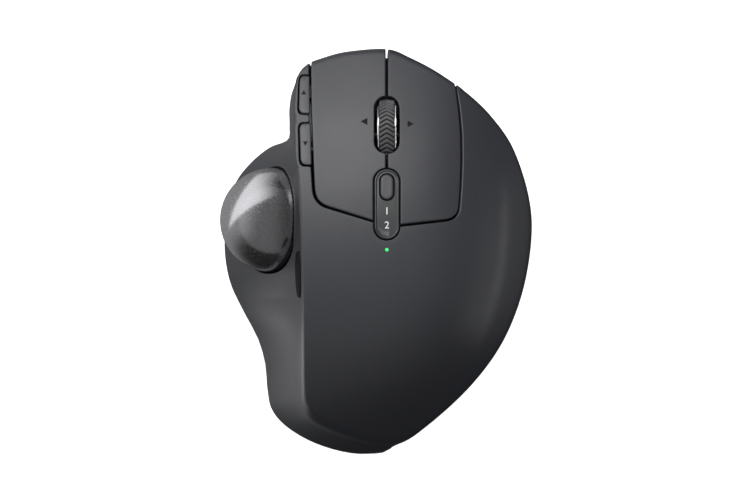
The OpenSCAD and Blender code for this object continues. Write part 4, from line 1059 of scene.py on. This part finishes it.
class MOUSE_OT_device_switch(MousePiece, bpy.types.Operator):
    """Makes the bezel behind the wheel and the device button in it"""
    bl_idname = "mouse.device_switch"
    bl_label = "Bezel and device button"

    def execute(self, context):
        rims = [(4.1, -0.55), (4.06, -0.28), (3.95, -0.06), (3.78, 0.06), (3.6, 0.06), (3.42, -0.04),
                (3.3, -0.18)]
        rows = [on_top(stadium(BEZEL_Y, r), z) for r, z in rims]
        rows = [rows[0] - np.array([0, 0, 1.6])] + rows
        far, near = stadium(BEZEL_Y, 3.3), stadium(KEY_Y, KEY_R + 0.5)
        for k in (0.2, 0.4, 0.6, 0.8, 1.0):
            rows.append(on_top(mix(far, near, k), -0.22))
        rows.append(on_top(stadium(KEY_Y, KEY_R + 0.42), -0.5))
        rows.append(rows[-1] - np.array([0, 0, 1.6]))
        bezel = skin("bezel", np.stack(rows), closed=True)
        modify(bezel, "SOLIDIFY", thickness=0.5 * MM, offset=-1)
        smooth(bezel, 40)
        place(bezel, "housing", "gloss_black", "gloss_black", "switch_bezel")
        loop = stadium(KEY_Y, KEY_R)
        spine = np.column_stack([np.full(len(loop), MIDDLE_X), np.clip(loop[:, 1], *KEY_Y)])
        cap = key_cap("device_key_cap", loop, spine, 0.46, (0, 0.04, 0.13, 0.28, 0.45, 0.62),
                      -0.06, (0.3, 0.65), 2.2)
        place(cap, "device_key", "key", "key", "device_button")
        return {"FINISHED"}


class MOUSE_OT_marks(MousePiece, bpy.types.Operator):
    """Prints the two digits, the arrows and the status light"""
    bl_idname = "mouse.marks"
    bl_label = "Marks and light"

    def execute(self, context):
        for digit, y in (("1", 13.1), ("2", 8.5)):
            self.digit(digit, y)
        arrows = (("tilt_left", (-3.7, 42.3), 180, 1.5, "left_cap", "left_click"),
                  ("tilt_right", (10.8, 41.5), 0, 1.35, "right_cap", "right_click"),
                  ("forward", (-23.75, 51.6), 90, 1.0, "forward_key_cap", "forward_key"),
                  ("back", (-23.25, 35.3), 270, 1.0, "back_key_cap", "back_key"))
        for name, at, turn, size, under, body in arrows:
            self.arrow(f"{name}_arrow", at, turn, size, under, body)
        self.light()
        return {"FINISHED"}

    def lay(self, obj, under, thick):
        """Lays a flat outline on a surface and gives it a thin body."""
        tree = surface(bpy.data.objects[under])
        for v in obj.data.vertices:
            v.co.z = (drop_on(tree, (v.co.x / MM, v.co.y / MM)) + thick) * MM
        edit(obj, bpy.ops.mesh.quads_convert_to_tris, outside)
        modify(obj, "SOLIDIFY", thickness=thick * 1.5 * MM, offset=-1)

    def digit(self, digit, y):
        deselect()
        bpy.ops.object.text_add()
        text = bpy.context.object
        text.data.body = digit
        text.data.align_x = "CENTER"
        text.data.resolution_u = 6
        use(text)
        bpy.ops.object.convert(target="MESH")
        obj = bpy.context.object
        obj.name = obj.data.name = f"digit_{digit}"
        co = np.array([v.co for v in obj.data.vertices])
        low, high = co.min(0), co.max(0)
        k = self.sizes().digit_height / (high[1] - low[1])
        obj.data.transform(Matrix.Translation(((MIDDLE_X * MM, y * MM, 0))) @ Matrix.Scale(k, 4)
                           @ Matrix.Translation(-Vector((low + high) / 2)))
        self.finish_mark(obj, "bezel", "housing", "ink_white", 0.03)

    def arrow(self, name, at, turn, size, under, body):
        deselect()
        bpy.ops.mesh.primitive_circle_add(vertices=3, radius=size * MM, fill_type="NGON")
        obj = bpy.context.object
        obj.name = obj.data.name = name
        edit(obj, lambda: bpy.ops.mesh.bevel(offset=0.12 * size * MM, segments=3, affect="VERTICES"),
             bpy.ops.mesh.poke, lambda: bpy.ops.mesh.subdivide(number_cuts=4))
        spin = math.radians(turn - 90)
        obj.data.transform(Matrix.Translation((at[0] * MM, at[1] * MM, 0)) @ Matrix.Rotation(spin, 4, "Z")
                           @ Matrix.Diagonal((0.92, 1.0, 1.0, 1.0)))
        self.finish_mark(obj, under, body, "ink_dark", 0.02)

    def finish_mark(self, obj, under, body, finish, thick):
        self.lay(obj, under, thick)
        if sum(p.normal.z for p in obj.data.polygons) < -1:
            edit(obj, bpy.ops.mesh.flip_normals)
        place(obj, body, finish, "white_plastic" if finish == "ink_white" else "dark_plastic")

    def light(self):
        a = np.linspace(0, 2 * math.pi, 33)[:-1]
        circle = np.column_stack([np.cos(a), np.sin(a)])
        centre = np.array(LIGHT)
        loops = [centre + circle * r for r in (0.6, 0.6, 0.54, 0.4, 0.2)]
        spine = np.repeat(centre[None], len(a), axis=0)
        lens = ring_cap("status_lens", loops, spine, (-0.6, 0.02, 0.1, 0.17, 0.2), 1.2, 0.2)
        place(lens, "housing", "light", "light", "light_pipe")


class MOUSE_OT_precision_button(MousePiece, bpy.types.Operator):
    """Makes the precision button's crescent in the steep band, near-black as painted shade of its recess"""
    bl_idname = "mouse.precision_button"
    bl_label = "Precision button"

    def execute(self, context):
        rows = [press_outline(0.3, out, 1.1) for out in (-1.6, -0.1)]
        rows += [press_outline(0.42, 0.05, 1.1), press_outline(0.7, 0.15, 1.1)]
        spine_s = np.clip(np.interp(rows[-1][:, 1], [-17, 1.5], [14.35, 12.75]), 12.75, 14.35)
        a = edge(spine_s)
        o = unit(skirt(spine_s) - a) * (BAND_LEAN * PRESS_DROP + 0.75)
        rows.append(np.column_stack([a + o, top_z(a) - PRESS_DROP]))
        cap = skin("precision_cap", np.stack(rows), closed=True, up=False)
        edit(cap, merge, outside)
        face_along(cap, (-1, 0, 0))
        modify(cap, "SOLIDIFY", thickness=0.4 * MM, offset=-1)
        smooth(cap, 50)
        # near-black finish: dark plastic with painted shade of the button's recess
        place(cap, "precision_key", "press_black", "dark_plastic", "precision_button")
        return {"FINISHED"}


class MOUSE_OT_wheel(MousePiece, bpy.types.Operator):
    """Makes the wheel's treaded tyre and its bright rims"""
    bl_idname = "mouse.wheel"
    bl_label = "Scroll wheel"

    def execute(self, context):
        self.tyre()
        self.rims()
        return {"FINISHED"}

    def tyre(self):
        treads = self.sizes().treads
        steps = treads * 10
        a = np.arange(steps) / steps * 2 * math.pi
        xs = np.linspace(-1, 1, 21)
        rows = []
        for x in xs:
            phase = (a * treads / (2 * math.pi) + 1.0 * abs(x) ** 1.15) % 1
            groove = np.exp(-((phase - 0.5) / 0.13) ** 2)
            r = TYRE_R - 0.28 * x * x - 0.25 * np.clip((abs(x) - 0.9) / 0.1, 0, 1) - TREAD_DEPTH * groove
            rows.append(self.ring(a, x * TYRE_WIDTH / 2, r))
        for x in (1.0, 0.0, -1.0):
            rows.append(self.ring(a, x * TYRE_WIDTH / 2, np.full(steps, 9.3)))
        rows.append(rows[0])
        tyre = skin("tyre", np.stack(rows), closed=True, up=False)
        edit(tyre, merge, outside)
        smooth(tyre, 50)
        place(tyre, "wheel", "tyre", "rubber", "wheel_tyre")

    def ring(self, a, x, r):
        """A row of points round the wheel's axis at a distance x from its middle."""
        return np.column_stack([np.full(len(a), WHEEL[0] + x), WHEEL[1] + r * np.sin(a),
                                WHEEL[2] + r * np.cos(a)])

    def rims(self):
        """Two bright rims beside the tyre, on a dark core with its axle ends."""
        rim = [(9.3, 2.5), (10.7, 2.5), (11.0, 2.52), (11.1, 2.64), (11.1, 2.9), (10.9, 3.1), (9.6, 3.16),
               (9.3, 3.1)]
        core = [(0.02, 6.0), (1.05, 6.0), (1.22, 5.85), (1.25, 3.2), (2.5, 3.2), (2.6, 3.1), (2.6, 2.2),
                (2.7, 2.1), (7.3, 2.1), (7.4, 2.2), (7.4, 2.9), (7.6, 3.12), (8.0, 3.2), (9.28, 3.2), (9.28, 2.4)]
        a = np.linspace(0, 2 * math.pi, 97)[:-1]

        def turned(name, profile):
            obj = skin(name, np.stack([self.ring(a, x, np.full(len(a), r)) for r, x in profile + profile[:1]]),
                       closed=True, up=False)
            edit(obj, merge, outside)
            smooth(obj, 40)
            return obj
        sides = [turned("wheel_rims", [(r, x * hand) for r, x in rim]) for hand in (1, -1)]
        place(join("wheel_rims", sides), "wheel", "bright_steel", "bright_steel", "wheel_hub")
        middle = turned("wheel_core", core + [(r, -x) for r, x in reversed(core)])
        place(middle, "wheel", "dark_plastic", "dark_plastic")


class MOUSE_OT_ball(MousePiece, bpy.types.Operator):
    """Makes the thumb ball: a smoothed sphere of the part's size at its place"""
    bl_idname = "mouse.ball"
    bl_label = "Thumb ball"

    def execute(self, context):
        deselect()
        low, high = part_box("trackball")
        radius = (high.x - low.x) / 2
        bpy.ops.mesh.primitive_ico_sphere_add(subdivisions=4, radius=radius)
        ball = bpy.context.object
        ball.name = ball.data.name = "thumb_ball"
        modify(ball, "SUBSURF", levels=2, render_levels=2)
        modify(ball, "CAST", factor=1.0, radius=radius, use_radius_as_size=False, cast_type="SPHERE")
        for v in ball.data.vertices:
            v.co = v.co.normalized() * radius + (low + high) / 2
        smooth(ball, 60)
        place(ball, "ball", "ball", "ball", "trackball")
        return {"FINISHED"}


class MOUSE_OT_underside(MousePiece, bpy.types.Operator):
    """Gives the bottom case, the plate, the sole and other outer solids their softened edges"""
    bl_idname = "mouse.underside"
    bl_label = "Case, plate and sole"

    def execute(self, context):
        for name, node, width in (("case_tray", "bottom_case", 0.35), ("base_disc", "base_plate", 0.25),
                                  ("grip_sole", "sole_pad", 0.3), ("power_knob_cap", "power_slider", 0.12)):
            self.soften(name, node, width)
        return {"FINISHED"}

    def soften(self, name, node, width):
        source = frame["nodes"][node]
        copy = bpy.data.objects.new(name, source.data.copy())
        bpy.context.scene.collection.objects.link(copy)
        copy.data.name = name
        edit(copy, lambda: bpy.ops.mesh.remove_doubles(threshold=1e-6),
             lambda: bpy.ops.mesh.dissolve_limited(angle_limit=math.radians(0.5)))
        modify(copy, "BEVEL", width=width * MM, segments=2, limit_method="ANGLE", angle_limit=math.radians(50),
               harden_normals=False)
        smooth(copy, 35)
        slots = {p["node"]: p["material_slot"] for p in frame["record"]["subparts"]}
        place(copy, source["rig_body"], slots[node], slots[node], node)


class MOUSE_OT_stage(MousePiece, bpy.types.Operator):
    """Sets out the floor, the lights and the camera"""
    bl_idname = "mouse.stage"
    bl_label = "Stage"

    def execute(self, context):
        deselect()
        bpy.ops.mesh.primitive_plane_add(size=4.0, location=(0, 0, 0))
        floor = bpy.context.object
        floor.name = "floor"
        floor.data.transform(Matrix.Translation((0, 0, -0.00005)))
        f = Finish("floor", Base_Color=(0.9, 0.9, 0.9, 1), Roughness=0.8, Specular_IOR_Level=0.1,
                   Emission_Color=(1, 1, 1, 1), Emission_Strength=0.85)
        f.feed("Base Color", f.tint(f.noise(3, 2.0), (0.89, 0.89, 0.89, 1), (0.92, 0.92, 0.92, 1)))
        floor.data.materials.append(bpy.data.materials["floor_finish"])
        floor.visible_diffuse = floor.visible_glossy = False
        bpy.context.scene.view_settings.view_transform = "Standard"
        self.camera()
        self.room()
        self.lamps()
        return {"FINISHED"}

    def camera(self):
        data = bpy.data.cameras.new("camera")
        camera = bpy.data.objects.new("camera", data)
        bpy.context.scene.collection.objects.link(camera)
        data.type = "ORTHO"
        data.ortho_scale = VIEW_WIDTH
        data.clip_start, data.clip_end = 0.01, 5.0
        camera.location = (0, 0, 1.0)
        bpy.context.scene.camera = camera

    def lamp(self, name, at, aim, size, size_y, radiance):
        """A soft box of a given brightness; the camera doesn't see the box itself."""
        data = bpy.data.lights.new(name, "AREA")
        data.shape = "RECTANGLE"
        data.size, data.size_y, data.energy = size, size_y, radiance * math.pi * size * size_y
        obj = bpy.data.objects.new(name, data)
        bpy.context.scene.collection.objects.link(obj)
        obj.location = at
        obj.rotation_euler = (Vector(aim) - Vector(at)).to_track_quat("-Z", "Y").to_matrix().to_euler()
        obj.visible_camera = False
        return obj

    def room(self):
        """A dim room with a round soft box at the front left, a paler side to the left and a dark rear."""
        room = Room()
        sky = room.towards(0, 0, 1).above(0.19, 0.03) * (0.17 - room.towards(1, 0, 0).above(0.3, 0.4) * 0.12)
        left = room.towards(-0.9, 0.2, -0.35).above(0.5, 0.45) * (1 - room.towards(0, -1, 0).above(0.55, 0.3))
        box = room.towards(-0.399, 0.807, -0.435).above(0.391, 0.02)
        box = box * (1 - room.towards(0.97, 0.243, 0).above(0.1, 0.4))
        box = box * (1 - room.towards(0, 0, -1).above(0.66, 0.05))
        dark = room.towards(-0.666, 0.308, -0.68).above(0.827, 0.02)
        room.feed("Strength", sky + left * 0.4 + box * (1 - dark) * 1.15 + 0.015)

    def lamps(self):
        """Soft boxes for the body; the ball mirrors only the room."""
        middle = (0, 0, 0.03)
        lamps = [
            self.lamp("key", (-0.05, 0.9, 0.72), middle, 1.3, 0.45, 3.6),
            self.lamp("key_heart", (-0.2, 0.85, 0.78), middle, 0.6, 0.45, 2.4),
            self.lamp("overhead", (0, 0, 1.3), middle, 3.0, 3.0, 0.5),
            self.lamp("right_panel", (1.0, 0.2, 0.4), middle, 2.0, 0.8, 0.22),
            self.lamp("rear_panel", (0.1, -1.1, 0.5), middle, 2.0, 0.7, 0.25),
            self.lamp("right_strip", (0.24, -0.03, 0.009), (0, -0.03, 0.009), 0.24, 0.016, 6.0),
            self.lamp("left_bounce", (-0.16, -0.11, 0.001), (-0.16, -0.11, 1.0), 0.2, 0.16, 1.8)]
        group = bpy.data.collections.new("all_but_the_ball")
        group.objects.link(bpy.data.objects["thumb_ball"])
        group.collection_objects[0].light_linking.link_state = "EXCLUDE"
        for lamp in lamps:
            lamp.light_linking.receiver_collection = group


class MOUSE_PT_panel(bpy.types.Panel):
    """The steps that build the mouse, in order"""
    bl_idname = "MOUSE_PT_panel"
    bl_label = "Thumb-Ball Mouse"
    bl_space_type = "VIEW_3D"
    bl_region_type = "UI"
    bl_category = "Thumb-Ball Mouse"

    def draw(self, context):
        column = self.layout.column()
        for group in (context.scene.mouse_sizes, context.scene.mouse_colours):
            for name in group.__annotations__:
                column.prop(group, name)
        for step in STEPS:
            column.operator(step.bl_idname)


STEPS = (MOUSE_OT_finishes, MOUSE_OT_shell, MOUSE_OT_buttons, MOUSE_OT_thumb_keys, MOUSE_OT_device_switch,
         MOUSE_OT_marks, MOUSE_OT_precision_button, MOUSE_OT_wheel, MOUSE_OT_ball, MOUSE_OT_underside,
         MOUSE_OT_stage)
CLASSES = (MouseSizes, MouseColours) + STEPS + (MOUSE_PT_panel,)


def register():
    for c in CLASSES:
        bpy.utils.register_class(c)
    bpy.types.Scene.mouse_sizes = bpy.props.PointerProperty(type=MouseSizes)
    bpy.types.Scene.mouse_colours = bpy.props.PointerProperty(type=MouseColours)


def unregister():
    del bpy.types.Scene.mouse_colours
    del bpy.types.Scene.mouse_sizes
    for c in reversed(CLASSES):
        bpy.utils.unregister_class(c)


def main():
    register()
    for step in STEPS:
        getattr(bpy.ops.mouse, step.bl_idname.split(".")[1])()


if __name__ == "__main__":
    main()
